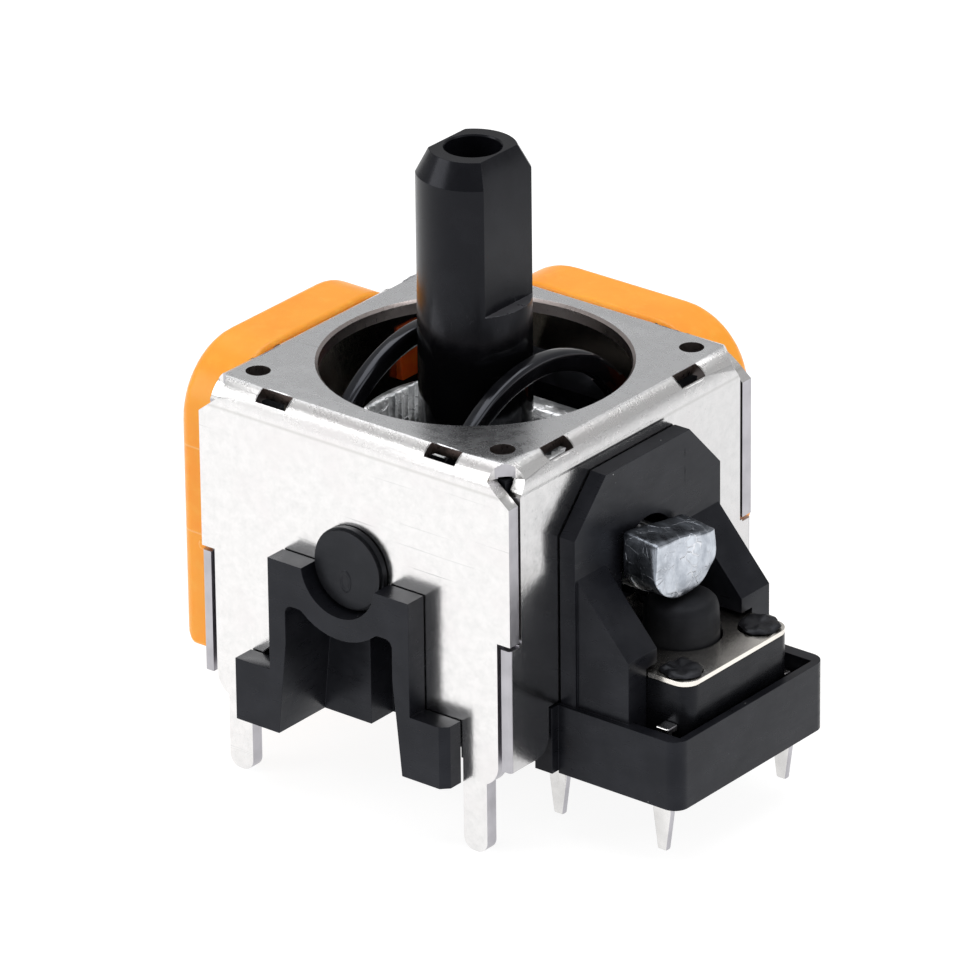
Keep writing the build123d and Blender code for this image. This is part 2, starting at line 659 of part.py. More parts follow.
# Lower rocker: cast frame inside a ball outline, round necks, a key for the rotor and the push head
with BuildPart() as lower_rocker:
    with BuildSketch(Plane.XY.offset(PIVOT_Z - FRAME_DROP)):
        Rectangle(2 * FRAME_HALF_X, 2 * FRAME_HALF_Y)
        Rectangle(2 * WELL_HALF_X, 2 * WELL_HALF_Y, mode=Mode.SUBTRACT)
    extrude(amount=FRAME_DROP + FRAME_RISE)
    with Locations((0, 0, PIVOT_Z)):
        Sphere(FRAME_R, mode=Mode.INTERSECT)
    with BuildSketch(Plane.YZ.offset(-KEY_BAR_X)):
        with Locations((0, PIVOT_Z)):
            Circle(NECK_R)
    extrude(amount=KEY_BAR_X - WELL_HALF_X)
    with BuildSketch(Plane.YZ.offset(-KEY_KNUCKLE_X)):
        with Locations((0, PIVOT_Z)):
            Rectangle(2 * KEY_HALF, 2 * (KEY_RISE - FIT))
    extrude(amount=KEY_KNUCKLE_X - KEY_BAR_X)
    with BuildSketch(Plane.XZ):
        with Locations((-KEY_KNUCKLE_X, PIVOT_Z)):
            Circle(KEY_RISE)
    extrude(amount=KEY_HALF, both=True)
    with BuildSketch(Plane.YZ.offset(WELL_HALF_X)):
        with Locations((0, PIVOT_Z)):
            Circle(NECK_R)
    extrude(amount=HEAD_BACK_X - WELL_HALF_X)

    # Push head: slanted top, straight sides, round belly
    with BuildSketch(Plane.YZ.offset(HEAD_BACK_X)):
        with BuildLine():
            Polyline(
                (-HEAD_HALF, HEAD_BOTTOM),
                (HEAD_HALF, HEAD_BOTTOM),
                (HEAD_HALF, HEAD_TOP - HEAD_SLANT),
                (-HEAD_HALF, HEAD_TOP),
                close=True,
            )
        make_face()
        with Locations((0, HEAD_BOTTOM + HEAD_BELLY_R)):
            Circle(HEAD_BELLY_R, mode=Mode.INTERSECT)
    extrude(amount=HEAD_FACE_X - HEAD_BACK_X)
    chamfer(lower_rocker.faces().sort_by(Axis.X)[-1].edges(), HEAD_EDGE)

    # Grooves down the inner faces of the end walls
    with BuildSketch(Plane.XY.offset(PIVOT_Z - FRAME_DROP)):
        with GridLocations(2 * WELL_HALF_X, GROOVE_PITCH, 2, GROOVE_COUNT):
            RegularPolygon(GROOVE_DEPTH, 4, major_radius=True)
    extrude(amount=FRAME_DROP + FRAME_RISE, mode=Mode.SUBTRACT)
    with BuildSketch(Plane.XZ.offset(-FRAME_HALF_Y)):
        with Locations((0, PIVOT_Z)):
            Circle(PIN_R + PRESS)
    extrude(amount=2 * FRAME_HALF_Y, mode=Mode.SUBTRACT)

save(lower_rocker.part, "lower_rocker")

# Spring seat: cap with a skirt over the spring and a guide pin in the post
with BuildPart() as spring_seat:
    with BuildSketch(Plane.XZ):
        with BuildLine():
            Polyline(
                (0, SEAT_TOP),
                (SEAT_R - SEAT_CHAMFER, SEAT_TOP),
                (SEAT_R, SEAT_TOP - SEAT_CHAMFER),
                (SEAT_R, SEAT_UNDER - SKIRT_DROP),
                (SEAT_R - SKIRT_WALL, SEAT_UNDER - SKIRT_DROP),
                (SEAT_R - SKIRT_WALL, SEAT_UNDER),
                (GUIDE_R, SEAT_UNDER),
                (GUIDE_R, GUIDE_END_Z),
                (0, GUIDE_END_Z),
                close=True,
            )
        make_face()
    revolve(axis=Axis.Z)

save(spring_seat.part, "spring_seat")

with BuildPart() as return_spring:
    with BuildLine():
        coil = Helix(
            pitch=SPRING_PITCH,
            height=SEAT_UNDER - FLOOR_TOP - 2 * (WIRE_R + PRESS),
            radius=SPRING_R,
            center=(0, 0, FLOOR_TOP + WIRE_R + PRESS),
        )
    with BuildSketch(Plane(coil @ 0, z_dir=coil % 0)):
        RegularPolygon(WIRE_R, 6)
    sweep()

save(return_spring.part, "return_spring")

# Resistor housing: orange box with rounded shoulders, a tapered foot and two snap hooks
with BuildPart() as pot_housing:
    with BuildSketch(Plane.XZ.offset(-POT_FACE)) as pot_outline:
        with BuildLine():
            Polyline(
                (POT_HALF_TOP, POT_TOP),
                (POT_HALF_TOP, PIVOT_Z),
                (POT_HALF_BOTTOM, POT_BOTTOM),
                (-POT_HALF_BOTTOM, POT_BOTTOM),
                (-POT_HALF_TOP, PIVOT_Z),
                (-POT_HALF_TOP, POT_TOP),
                close=True,
            )
        make_face()
        fillet(pot_outline.vertices().group_by(Axis.Y)[-1], POT_CORNER_R)
    extrude(amount=POT_FACE - POT_BACK)
    chamfer(pot_housing.faces().sort_by(Axis.Y)[-1].edges(), POT_EDGE)
    with BuildSketch(Plane.XZ.offset(-POT_FACE + POT_WALL)) as cavity_outline:
        with Locations((0, (POT_TOP + POT_BOTTOM) / 2)):
            Rectangle(2 * (POT_HALF_BOTTOM - POT_WALL), POT_TOP - POT_BOTTOM - 2 * POT_WALL)
        fillet(cavity_outline.vertices().group_by(Axis.Y)[-1], POT_CORNER_R - POT_WALL)
    extrude(amount=POT_FACE, mode=Mode.SUBTRACT)
    for side in (-1, 1):
        with BuildSketch(Plane.XY.offset(NOTCH_Z - HOOK_DROP)):
            with Locations((side * (POT_HALF_BOTTOM + HOOK_REACH) / 2, POT_BACK + HOOK_DEPTH / 2)):
                Rectangle(HOOK_REACH - POT_HALF_BOTTOM, HOOK_DEPTH)
        extrude(amount=HOOK_HEIGHT)
    with BuildSketch(Plane.XY.offset(POT_BOTTOM)):
        with Locations((0, TERMINAL_Y)):
            with GridLocations(TERMINAL_PITCH, 1, 3, 1):
                Rectangle(TERMINAL_WIDTH + 2 * FIT, TERMINAL_SHEET + 2 * FIT)
    extrude(amount=2 * POT_WALL, both=True, mode=Mode.SUBTRACT)

save(pot_housing.part, "pot_housing_y")
save(turned(pot_housing.part), "pot_housing_x")

# Resistive element: board with a raised carbon arc
board_face = POT_FACE - POT_WALL - GAP / 2
with BuildPart() as resistive_track:
    with BuildSketch(Plane.XZ.offset(-board_face)):
        with Locations((0, (BOARD_TOP + BOARD_BOTTOM) / 2)):
            Rectangle(2 * BOARD_HALF, BOARD_TOP - BOARD_BOTTOM)
    extrude(amount=BOARD_SHEET)
    board_corners = resistive_track.edges().filter_by(Axis.Y)
    chamfer(board_corners, BOARD_CORNER)
    with BuildSketch(Plane.XZ.offset(-board_face + BOARD_SHEET)):
        with Locations((0, PIVOT_Z)):
            Circle(TRACK_R + TRACK_HALF)
            Circle(TRACK_R - TRACK_HALF, mode=Mode.SUBTRACT)
        with Locations((0, PIVOT_Z - TRACK_GAP)):
            Rectangle(TRACK_GAP, 2 * TRACK_GAP, mode=Mode.SUBTRACT)
    extrude(amount=TRACK_RISE)

save(resistive_track.part, "resistive_track_y")
save(turned(resistive_track.part), "resistive_track_x")

# Three flat terminals, riveted to the board's lower edge
with BuildPart() as pot_terminals:
    with BuildSketch(Plane.XZ.offset(-TERMINAL_Y - TERMINAL_SHEET / 2)):
        with GridLocations(TERMINAL_PITCH, 1, 3, 1):
            Polygon(
                (TERMINAL_WIDTH / 2, TERMINAL_TOP),
                (-TERMINAL_WIDTH / 2, TERMINAL_TOP),
                (-TERMINAL_WIDTH / 2, TERMINAL_TIP_Z + TERMINAL_TAPER),
                (-TERMINAL_WIDTH / 4, TERMINAL_TIP_Z),
                (TERMINAL_WIDTH / 4, TERMINAL_TIP_Z),
                (TERMINAL_WIDTH / 2, TERMINAL_TIP_Z + TERMINAL_TAPER),
                align=None,
            )
    extrude(amount=TERMINAL_SHEET)

save(pot_terminals.part, "pot_terminals_y")
save(turned(pot_terminals.part), "pot_terminals_x")

# Wiper rotor: disc with a hub through the shell and a slot for the rocker's key
with BuildPart() as wiper_rotor:
    with BuildSketch(Plane.XZ.offset(-ROTOR_FACE)):
        with Locations((0, PIVOT_Z)):
            Circle(ROTOR_R)
    extrude(amount=ROTOR_FACE - ROTOR_BACK)
    with BuildSketch(Plane.XZ.offset(-ROTOR_BACK)):
        with Locations((0, PIVOT_Z)):
            Circle(ROTOR_HUB_R)
    extrude(amount=ROTOR_BACK - HUB_END_Y)
    with BuildSketch(Plane.XZ.offset(-ROTOR_FACE)):
        with Locations((0, PIVOT_Z)):
            Rectangle(2 * (KEY_HALF + PRESS), 2 * (KEY_RISE + FIT))
    extrude(amount=ROTOR_FACE - HUB_END_Y, mode=Mode.SUBTRACT)

save(wiper_rotor.part, "wiper_rotor_y")
save(turned(wiper_rotor.part), "wiper_rotor_x")

# Wiper: sprung ring on the rotor with a contact over the carbon arc
with BuildPart() as wiper_brush:
    with BuildSketch(Plane.XZ.offset(-ROTOR_FACE - BRUSH_SHEET)):
        with Locations((0, PIVOT_Z)):
            Circle(BRUSH_OUTER_R)
            Circle(BRUSH_INNER_R, mode=Mode.SUBTRACT)
    extrude(amount=BRUSH_SHEET)
    contact_end = board_face - BOARD_SHEET - TRACK_RISE - FIT
    with BuildSketch(Plane.XZ.offset(-contact_end)):
        with Locations((0, PIVOT_Z + TRACK_R)):
            Circle(CONTACT_R)
    extrude(amount=contact_end - ROTOR_FACE)

save(wiper_brush.part, "wiper_brush_y")
save(turned(wiper_brush.part), "wiper_brush_x")

# Push switch
switch_plane = Plane((SWITCH_X, 0, 0))
with BuildPart(switch_plane) as switch_body:
    with BuildSketch(switch_plane.offset(TRAY_FLOOR)):
        RectangleRounded(2 * SWITCH_HALF, 2 * SWITCH_HALF, SWITCH_CORNER_R)
    extrude(amount=SWITCH_BODY_TOP - TRAY_FLOOR)
    with BuildSketch(switch_plane.offset(DOME_SEAT_Z)):
        Circle(DOME_R + GAP)
    extrude(amount=SWITCH_BODY_TOP - DOME_SEAT_Z, mode=Mode.SUBTRACT)
    with BuildSketch(switch_plane.offset(SWITCH_BODY_TOP)):
        with GridLocations(2 * STAKE_PITCH, 2 * STAKE_PITCH, 2, 2):
            Circle(STAKE_R)
    extrude(amount=STAKE_TOP - SWITCH_BODY_TOP)

save(switch_body.part, "switch_body")

with BuildPart() as switch_cover:
    with BuildSketch(switch_plane.offset(SWITCH_COVER_TOP)):
        RectangleRounded(2 * SWITCH_HALF, 2 * SWITCH_HALF, SWITCH_CORNER_R)
        with Locations((BUTTON_SHIFT_X, BUTTON_SHIFT_Y)):
            Circle(BUTTON_R + GAP, mode=Mode.SUBTRACT)
        with GridLocations(2 * STAKE_PITCH, 2 * STAKE_PITCH, 2, 2):
            Circle(STAKE_R + PRESS, mode=Mode.SUBTRACT)
    extrude(amount=-COVER_SHEET)

save(switch_cover.part, "switch_cover")

# The button stands a little off the switch's centre
button_plane = Plane((SWITCH_X + BUTTON_SHIFT_X, BUTTON_SHIFT_Y, 0))
with BuildPart() as switch_button:
    with BuildSketch(button_plane.offset(BUTTON_FLANGE_Z)):
        Circle(FLANGE_R)
    extrude(amount=BUTTON_FLANGE)
    with BuildSketch(button_plane.offset(BUTTON_FLANGE_Z)):
        Circle(BUTTON_R)
    extrude(amount=BUTTON_TOP - BUTTON_FLANGE_Z)
    with BuildSketch(switch_plane.offset(DOME_TOP + FIT)):
        Circle(BUTTON_R / 2)
    extrude(amount=BUTTON_FLANGE_Z - DOME_TOP)
    chamfer(switch_button.faces().sort_by(Axis.Z)[-1].edges(), BUTTON_EDGE)

save(switch_button.part, "switch_button")

with BuildPart() as switch_dome:
    with BuildSketch(Plane.XZ):
        with BuildLine():
            Polyline(
                (SWITCH_X, DOME_TOP - DOME_SHEET),
                (SWITCH_X, DOME_TOP),
                (SWITCH_X + DOME_R, DOME_TOP - DOME_DROP),
                (SWITCH_X + DOME_R, DOME_TOP - DOME_DROP - DOME_SHEET),
                close=True,
            )
        make_face()
    revolve(axis=Axis((SWITCH_X, 0, 0), (0, 0, 1)))

save(switch_dome.part, "switch_dome")

# Four bent pins: out of the body's sides, then down through the board
with BuildPart() as switch_terminals:
    for side in (-1, 1):
        with BuildSketch(Plane.XZ.offset(-side * (PIN_Y + PIN_SHEET / 2))):
            with Locations((SWITCH_X, 0)):
                with GridLocations(PIN_SPACING_X, 1, 2, 1):
                    Polygon(
                        (PIN_NECK / 2, PIN_BEND_Z),
                        (-PIN_NECK / 2, PIN_BEND_Z),
                        (-PIN_NECK / 2, PIN_NECK_Z),
                        (-PIN_WIDTH / 2, PIN_NECK_Z),
                        (-PIN_WIDTH / 2, PIN_TAPER_Z),
                        (-PIN_WIDTH / 4, PIN_TIP_Z),
                        (PIN_WIDTH / 4, PIN_TIP_Z),
                        (PIN_WIDTH / 2, PIN_TAPER_Z),
                        (PIN_WIDTH / 2, PIN_NECK_Z),
                        (PIN_NECK / 2, PIN_NECK_Z),
                        align=None,
                    )
        extrude(amount=side * PIN_SHEET)
        with BuildSketch(Plane.XY.offset(PIN_BEND_Z)):
            with Locations((SWITCH_X, side * (SWITCH_HALF + PRESS + PIN_Y + PIN_SHEET / 2) / 2)):
                with GridLocations(PIN_SPACING_X, 1, 2, 1):
                    Rectangle(PIN_NECK, PIN_Y + PIN_SHEET / 2 - SWITCH_HALF - PRESS)
        extrude(amount=-PIN_SHEET)

save(switch_terminals.part, "switch_terminals")
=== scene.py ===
"""Looks of the board-mounted analog stick module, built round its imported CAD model."""

import math

import bmesh
import bpy
from mathutils import Matrix, Vector, noise


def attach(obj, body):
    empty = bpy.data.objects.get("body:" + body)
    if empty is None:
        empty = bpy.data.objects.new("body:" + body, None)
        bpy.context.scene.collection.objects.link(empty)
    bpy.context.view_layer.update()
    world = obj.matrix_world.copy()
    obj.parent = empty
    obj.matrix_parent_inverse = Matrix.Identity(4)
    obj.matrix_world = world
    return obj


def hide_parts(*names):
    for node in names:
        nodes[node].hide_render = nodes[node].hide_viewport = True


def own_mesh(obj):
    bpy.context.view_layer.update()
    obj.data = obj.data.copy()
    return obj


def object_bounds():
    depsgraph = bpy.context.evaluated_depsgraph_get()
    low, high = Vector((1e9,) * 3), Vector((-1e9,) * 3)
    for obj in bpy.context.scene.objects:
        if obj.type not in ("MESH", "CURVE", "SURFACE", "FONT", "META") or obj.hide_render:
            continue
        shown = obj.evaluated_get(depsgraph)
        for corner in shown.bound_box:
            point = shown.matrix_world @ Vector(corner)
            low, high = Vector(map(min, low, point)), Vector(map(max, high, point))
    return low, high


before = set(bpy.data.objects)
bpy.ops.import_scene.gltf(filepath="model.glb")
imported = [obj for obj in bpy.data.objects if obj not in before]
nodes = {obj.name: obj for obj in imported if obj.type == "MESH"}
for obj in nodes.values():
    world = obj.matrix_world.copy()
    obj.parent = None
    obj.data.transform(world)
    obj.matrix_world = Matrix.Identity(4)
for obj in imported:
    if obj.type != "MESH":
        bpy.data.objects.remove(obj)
cad_low, cad_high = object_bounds()
MM = 0.001
NEAR = 0.01
UP = Vector((0, 0, 1))

# Measures that the pieces and finishes follow, in millimetres and degrees
SHELL_HALF = 6.8
SHELL_INNER = 6.3
SHELL_TOP = 12.2
SHEET_THICK = 0.5
BEND_R = 0.9
OPENING_R = 5.45
PLATE_LOW = SHELL_TOP - SHEET_THICK
BEND_OUT = SHELL_HALF - BEND_R
BEND_UP = SHELL_TOP - BEND_R
WINDOW_AT = 3.7
WINDOW_HALF = 0.75
WINDOW_LOW = 11.5
PUNCH_FROM = 20.0
PUNCH_TO = 57.0
PUNCH_HALF = 0.67
HOLE_AT = 7.52
SLOT_SIDE = (2.8, 3.05)
SLOT_HIGH = 3.5
SLOT_LOWERED = 2.1
PIVOT_Z = 6.85
PARTING_HEIGHTS = (8.4, 5.13)
STICK_R = 2.0
STICK_FOOT = 4.4
BORE_R = 1.0
BORE_LOW = 14.2
STICK_TOP = 20.18
FLAT_HALF = 1.5
FLAT_LOW = 14.6
TAPER_LOW = 19.31
TAPER_IN = 0.35
# Heights over which the stem turns darker, which is painted shade, and glossier as if oiled.
SHADE_AND_OIL_FROM = 14.9
SHADE_AND_OIL_BELOW = 13.6
SCUFF_AT = 14.35
DISC_FACE_Y = -7.17
BAND_X = 2.555
BAND_HALF = 0.3
BAND_R = 5.68
BAND_TALL = 0.39
BAND_CUT_Z = 10.75
HEAD_CUT_X = 7.62
HEAD_FACE_X = 9.25
HEAD_LOW = 5.8
HEAD_TOP = 8.5
HEAD_HALF = 1.72
BELLY_Z = 7.62
BELLY_R = 1.84
NECK_FROM_X = 6.9
NECK_TOP = 7.6
NECK_OVERLAP = 0.4
SWITCH_X = 8.5
SWITCH_TOP = 4.0
LID_TOP = 4.2
STAKE_AT = 2.1
STAKE_SPREAD = 0.1
BUTTON_X = 8.8
BUTTON_Y = 0.15


# Material building blocks

def material(name, colour, roughness, metallic=0.0):
    """A new node material: its Principled shader carries the settings that are even all over."""
    made = bpy.data.materials.new(name)
    made.use_nodes = True
    shader = made.node_tree.nodes["Principled BSDF"]
    shader.inputs["Base Color"].default_value = (*colour, 1.0)
    shader.inputs["Roughness"].default_value = roughness
    shader.inputs["Metallic"].default_value = metallic
    return made, shader


def add(made, kind, **inputs):
    """A node of that kind, with inputs given as values or as sockets to link from."""
    node = made.node_tree.nodes.new(kind)
    for key, value in inputs.items():
        socket = node.inputs[key.replace("_", " ")]
        if isinstance(value, bpy.types.NodeSocket):
            made.node_tree.links.new(value, socket)
        else:
            socket.default_value = value
    return node


def link(made, source, target):
    """Joins an output socket to an input."""
    made.node_tree.links.new(source, target)


def place(made, scale=(1, 1, 1), turn=(0, 0, 0)):
    """Object coordinates in millimetres, stretched and turned."""
    coordinates = made.node_tree.nodes.new("ShaderNodeTexCoord")
    mapping = made.node_tree.nodes.new("ShaderNodeMapping")
    mapping.inputs["Scale"].default_value = [1000 * s for s in scale]
    mapping.inputs["Rotation"].default_value = [math.radians(a) for a in turn]
    link(made, coordinates.outputs["Object"], mapping.inputs["Vector"])
    return mapping.outputs["Vector"]


def height_mm(made):
    """Height above the board in millimetres."""
    return add(made, "ShaderNodeSeparateXYZ", Vector=place(made)).outputs["Z"]


def grain(made, vector, scale, detail=3.0, rough=0.55):
    """Noise, from 0 to 1 with most of it about the middle."""
    node = add(made, "ShaderNodeTexNoise", Vector=vector, Scale=scale, Detail=detail, Roughness=rough)
    return node.outputs["Fac"]


def spread(made, value, low, high, to_low=0.0, to_high=1.0):
    """A value from low to high, stretched over another range and clamped."""
    ends = {"From_Min": low, "From_Max": high, "To_Min": to_low, "To_Max": to_high}
    node = add(made, "ShaderNodeMapRange", Value=value, **ends)
    return node.outputs["Result"]


def tint(made, factor, first, second):
    """A colour between two colours or sockets."""
    node = made.node_tree.nodes.new("ShaderNodeMix")
    node.data_type = "RGBA"
    for index, value in ((0, factor), (6, first), (7, second)):
        if isinstance(value, bpy.types.NodeSocket):
            link(made, value, node.inputs[index])
        elif index:
            node.inputs[index].default_value = (*value, 1.0)
        else:
            node.inputs[index].default_value = value
    return node.outputs[2]


def maths(made, operation, first, second=0.0):
    """A sum, product or other result of two values or sockets."""
    node = made.node_tree.nodes.new("ShaderNodeMath")
    node.operation = operation
    for socket, value in zip(node.inputs, (first, second)):
        if isinstance(value, bpy.types.NodeSocket):
            link(made, value, socket)
        else:
            socket.default_value = value
    return node.outputs[0]


def line_at(made, value, centre, half_width):
    """1 on a thin line where the value is at its centre, fading to 0 beside it."""
    distance = maths(made, "ABSOLUTE", maths(made, "SUBTRACT", value, centre))
    return spread(made, distance, half_width, 0.0)


def relief(made, shader, *layers):
    """Stacks bumps: each layer is a height socket, its strength and its depth in millimetres."""
    normal = None
    for height, strength, depth in layers:
        bump = add(made, "ShaderNodeBump", Height=height, Strength=strength, Distance=depth * MM)
        if normal is not None:
            link(made, normal, bump.inputs["Normal"])
        normal = bump.outputs["Normal"]
    link(made, normal, shader.inputs["Normal"])


def specks(made, scale, size):
    """Sparse tiny dots: 1 in a dot and 0 elsewhere."""
    cells = add(made, "ShaderNodeTexVoronoi", Vector=place(made), Scale=scale)
    dots = spread(made, cells.outputs["Distance"], size, size * 0.6)
    chance = add(made, "ShaderNodeTexNoise", Vector=place(made), Scale=scale * 0.31, Detail=1.0)
    return maths(made, "MULTIPLY", dots, spread(made, chance.outputs["Fac"], 0.62, 0.66))


def scratches(made, turn, seed_shift):
    """Long hair scratches in one direction: noise drawn out along one axis, only its peaks kept."""
    vector = place(made, (0.12, 9.0, 9.0), turn)
    shifted = add(made, "ShaderNodeVectorMath", Vector=vector)
    shifted.inputs[1].default_value = (seed_shift, 0.0, 0.0)
    return spread(made, grain(made, shifted.outputs["Vector"], 1.0, 2.0, 0.5), 0.70, 0.74)


# Finishes

def tinned_sheet(name, shade):
    """Bright tinned sheet: satin on top, grainy where it is bent, polished down the walls."""
    made, shader = material(name, (0.78, 0.78, 0.78), 0.2, 1.0)
    height = height_mm(made)
    broad = grain(made, place(made), 0.35, 4.0)
    streaks = grain(made, place(made, (6.0, 6.0, 0.8)), 1.2, 4.0, 0.7)
    mottle = grain(made, place(made), 2.2, 5.0, 0.7)
    frost = grain(made, place(made), 26.0, 2.0, 0.6)
    on_plate = spread(made, height, SHELL_TOP - 0.12, SHELL_TOP - 0.03)
    on_bend = maths(made, "MULTIPLY", spread(made, height, SHELL_TOP - 1.1, SHELL_TOP - 0.8),
                    maths(made, "SUBTRACT", 1.0, on_plate))
    crease = line_at(made, height, SHELL_TOP - 1.0, 0.09)
    scored = maths(made, "MAXIMUM", scratches(made, (20, 35, 50), 3.0), scratches(made, (-40, 15, 110), 8.0))
    colour = tint(made, spread(made, mottle, 0.4, 0.7), (0.84, 0.83, 0.825), (0.755, 0.75, 0.745))
    colour = tint(made, spread(made, broad, 0.5, 0.75), colour, (0.80, 0.775, 0.775))
    colour = tint(made, on_plate, colour, (0.79, 0.795, 0.81))
    colour = tint(made, maths(made, "MULTIPLY", crease, 0.45), colour, (0.5, 0.49, 0.47))
    colour = tint(made, maths(made, "MULTIPLY", scored, 0.35), colour, (0.5, 0.5, 0.5))
    # The shade argument mixes the whole colour towards dark grey: painted shade, used for the +X wall's copy.
    colour = tint(made, shade, colour, (0.33, 0.335, 0.35))
    link(made, colour, shader.inputs["Base Color"])
    rough = spread(made, mottle, 0.3, 0.7, 0.16, 0.23)
    rough = maths(made, "ADD", rough, maths(made, "MULTIPLY", on_plate, 0.08))
    rough = maths(made, "ADD", rough, maths(made, "MULTIPLY", on_bend, 0.09))
    link(made, rough, shader.inputs["Roughness"])
    pebbled = grain(made, place(made), 11.0, 3.0, 0.65)
    pebbled = maths(made, "MULTIPLY", pebbled, maths(made, "ADD", on_bend, 0.12))
    relief(made, shader, (broad, 0.22, 0.05), (streaks, 0.3, 0.006), (mottle, 0.35, 0.012),
           (pebbled, 0.7, 0.012), (crease, 0.3, 0.03), (frost, 0.12, 0.002), (scored, 0.4, 0.004))
    return made


def moulded_plastic(name, base, roughness, gloss=0.28, dust=True, fine_depth=0.004):
    """Engineering plastic with faint flow marks, a fine skin and a few grains of dust where it has dust."""
    made, shader = material(name, base, roughness)
    shader.inputs["Specular IOR Level"].default_value = gloss
    shader.inputs["Specular Tint"].default_value = (0.84, 0.88, 1.0, 1.0)
    broad = grain(made, place(made), 0.8, 3.0)
    flow = grain(made, place(made, (0.7, 0.7, 3.0)), 1.6, 4.0, 0.6)
    fine = grain(made, place(made), 22.0, 2.0)
    lighter = tuple(1.6 * c + 0.004 for c in base)
    colour = tint(made, spread(made, broad, 0.4, 0.75), base, lighter)
    if dust:
        colour = tint(made, specks(made, 2.2, 0.055), colour, (0.45, 0.45, 0.46))
    link(made, colour, shader.inputs["Base Color"])
    link(made, spread(made, flow, 0.3, 0.7, roughness - 0.06, roughness + 0.09), shader.inputs["Roughness"])
    relief(made, shader, (broad, 0.12, 0.03), (flow, 0.06, 0.005), (fine, 0.14, fine_depth))
    return made


def stem_plastic():
    """The stem's black: satin above the shell; lower down among the rockers it is painted darker as shade,
    and glossier as if oiled.
    """
    made, shader = material("stick_black", (0.005, 0.005, 0.0065), 0.22)
    shader.inputs["Specular IOR Level"].default_value = 0.21
    shader.inputs["Specular Tint"].default_value = (0.88, 0.9, 1.0, 1.0)
    height = height_mm(made)
    broad = grain(made, place(made), 0.9, 3.0)
    rubbed = grain(made, place(made, (1.0, 1.0, 0.35)), 5.0, 4.0, 0.7)
    uneven = maths(made, "ADD", height, maths(made, "MULTIPLY", broad, 1.2))
    shade_and_oil = spread(made, uneven, SHADE_AND_OIL_FROM, SHADE_AND_OIL_BELOW)
    scuff = maths(made, "MULTIPLY", line_at(made, height, SCUFF_AT, 0.45), spread(made, rubbed, 0.6, 0.72))
    colour = tint(made, spread(made, broad, 0.4, 0.7), (0.0035, 0.0036, 0.005), (0.0075, 0.0078, 0.01))
    # Darker down in the shell: painted shade.
    colour = tint(made, shade_and_oil, colour, (0.0022, 0.0022, 0.0026))
    colour = tint(made, maths(made, "MULTIPLY", scuff, 0.5), colour, (0.12, 0.12, 0.13))
    colour = tint(made, specks(made, 2.6, 0.035), colour, (0.2, 0.2, 0.21))
    link(made, colour, shader.inputs["Base Color"])
    rough = spread(made, rubbed, 0.3, 0.7, 0.18, 0.28)
    rough = maths(made, "SUBTRACT", rough, maths(made, "MULTIPLY", shade_and_oil, 0.12))
    link(made, rough, shader.inputs["Roughness"])
    fine = grain(made, place(made), 24.0, 2.0)
    relief(made, shader, (broad, 0.1, 0.03), (rubbed, 0.12, 0.005), (fine, 0.1, 0.003))
    return made


def orange_moulding(name, deep, light, pale):
    """Slightly translucent orange plastic with the two faint parting lines of its mould."""
    made, shader = material(name, deep, 0.36)
    shader.inputs["Subsurface Weight"].default_value = 0.22
    shader.inputs["Specular IOR Level"].default_value = 0.35
    shader.inputs["Subsurface Radius"].default_value = (1.0, 0.45, 0.1)
    shader.inputs["Subsurface Scale"].default_value = 0.7 * MM
    height = height_mm(made)
    broad = grain(made, place(made), 0.5, 3.0)
    cloud = grain(made, place(made), 1.9, 4.0, 0.6)
    fine = grain(made, place(made), 18.0, 2.0)
    parting = maths(made, "MAXIMUM", *(line_at(made, height, at, 0.05) for at in PARTING_HEIGHTS))
    colour = tint(made, spread(made, broad, 0.35, 0.7), deep, light)
    colour = tint(made, spread(made, cloud, 0.5, 0.8), colour, pale)
    colour = tint(made, maths(made, "MULTIPLY", parting, 0.5), colour, (1.0, 0.66, 0.3))
    link(made, colour, shader.inputs["Base Color"])
    link(made, spread(made, fine, 0.3, 0.7, 0.3, 0.4), shader.inputs["Roughness"])
    relief(made, shader, (broad, 0.1, 0.03), (fine, 0.08, 0.003), (parting, 0.4, 0.02))
    return made


def metal(name, colour, roughness, texture=10.0, depth=0.004, stretch=(1, 1, 1)):
    """Bare metal with a fine surface drawn out along the way that it was worked."""
    made, shader = material(name, colour, roughness, 1.0)
    broad = grain(made, place(made), 0.9, 3.0)
    fine = grain(made, place(made, stretch), texture, 3.0, 0.65)
    darker = tuple(0.82 * c for c in colour)
    link(made, tint(made, spread(made, broad, 0.4, 0.7), colour, darker), shader.inputs["Base Color"])
    link(made, spread(made, fine, 0.3, 0.7, roughness - 0.05, roughness + 0.07), shader.inputs["Roughness"])
    relief(made, shader, (broad, 0.2, 0.03), (fine, 0.3, depth))
    return made


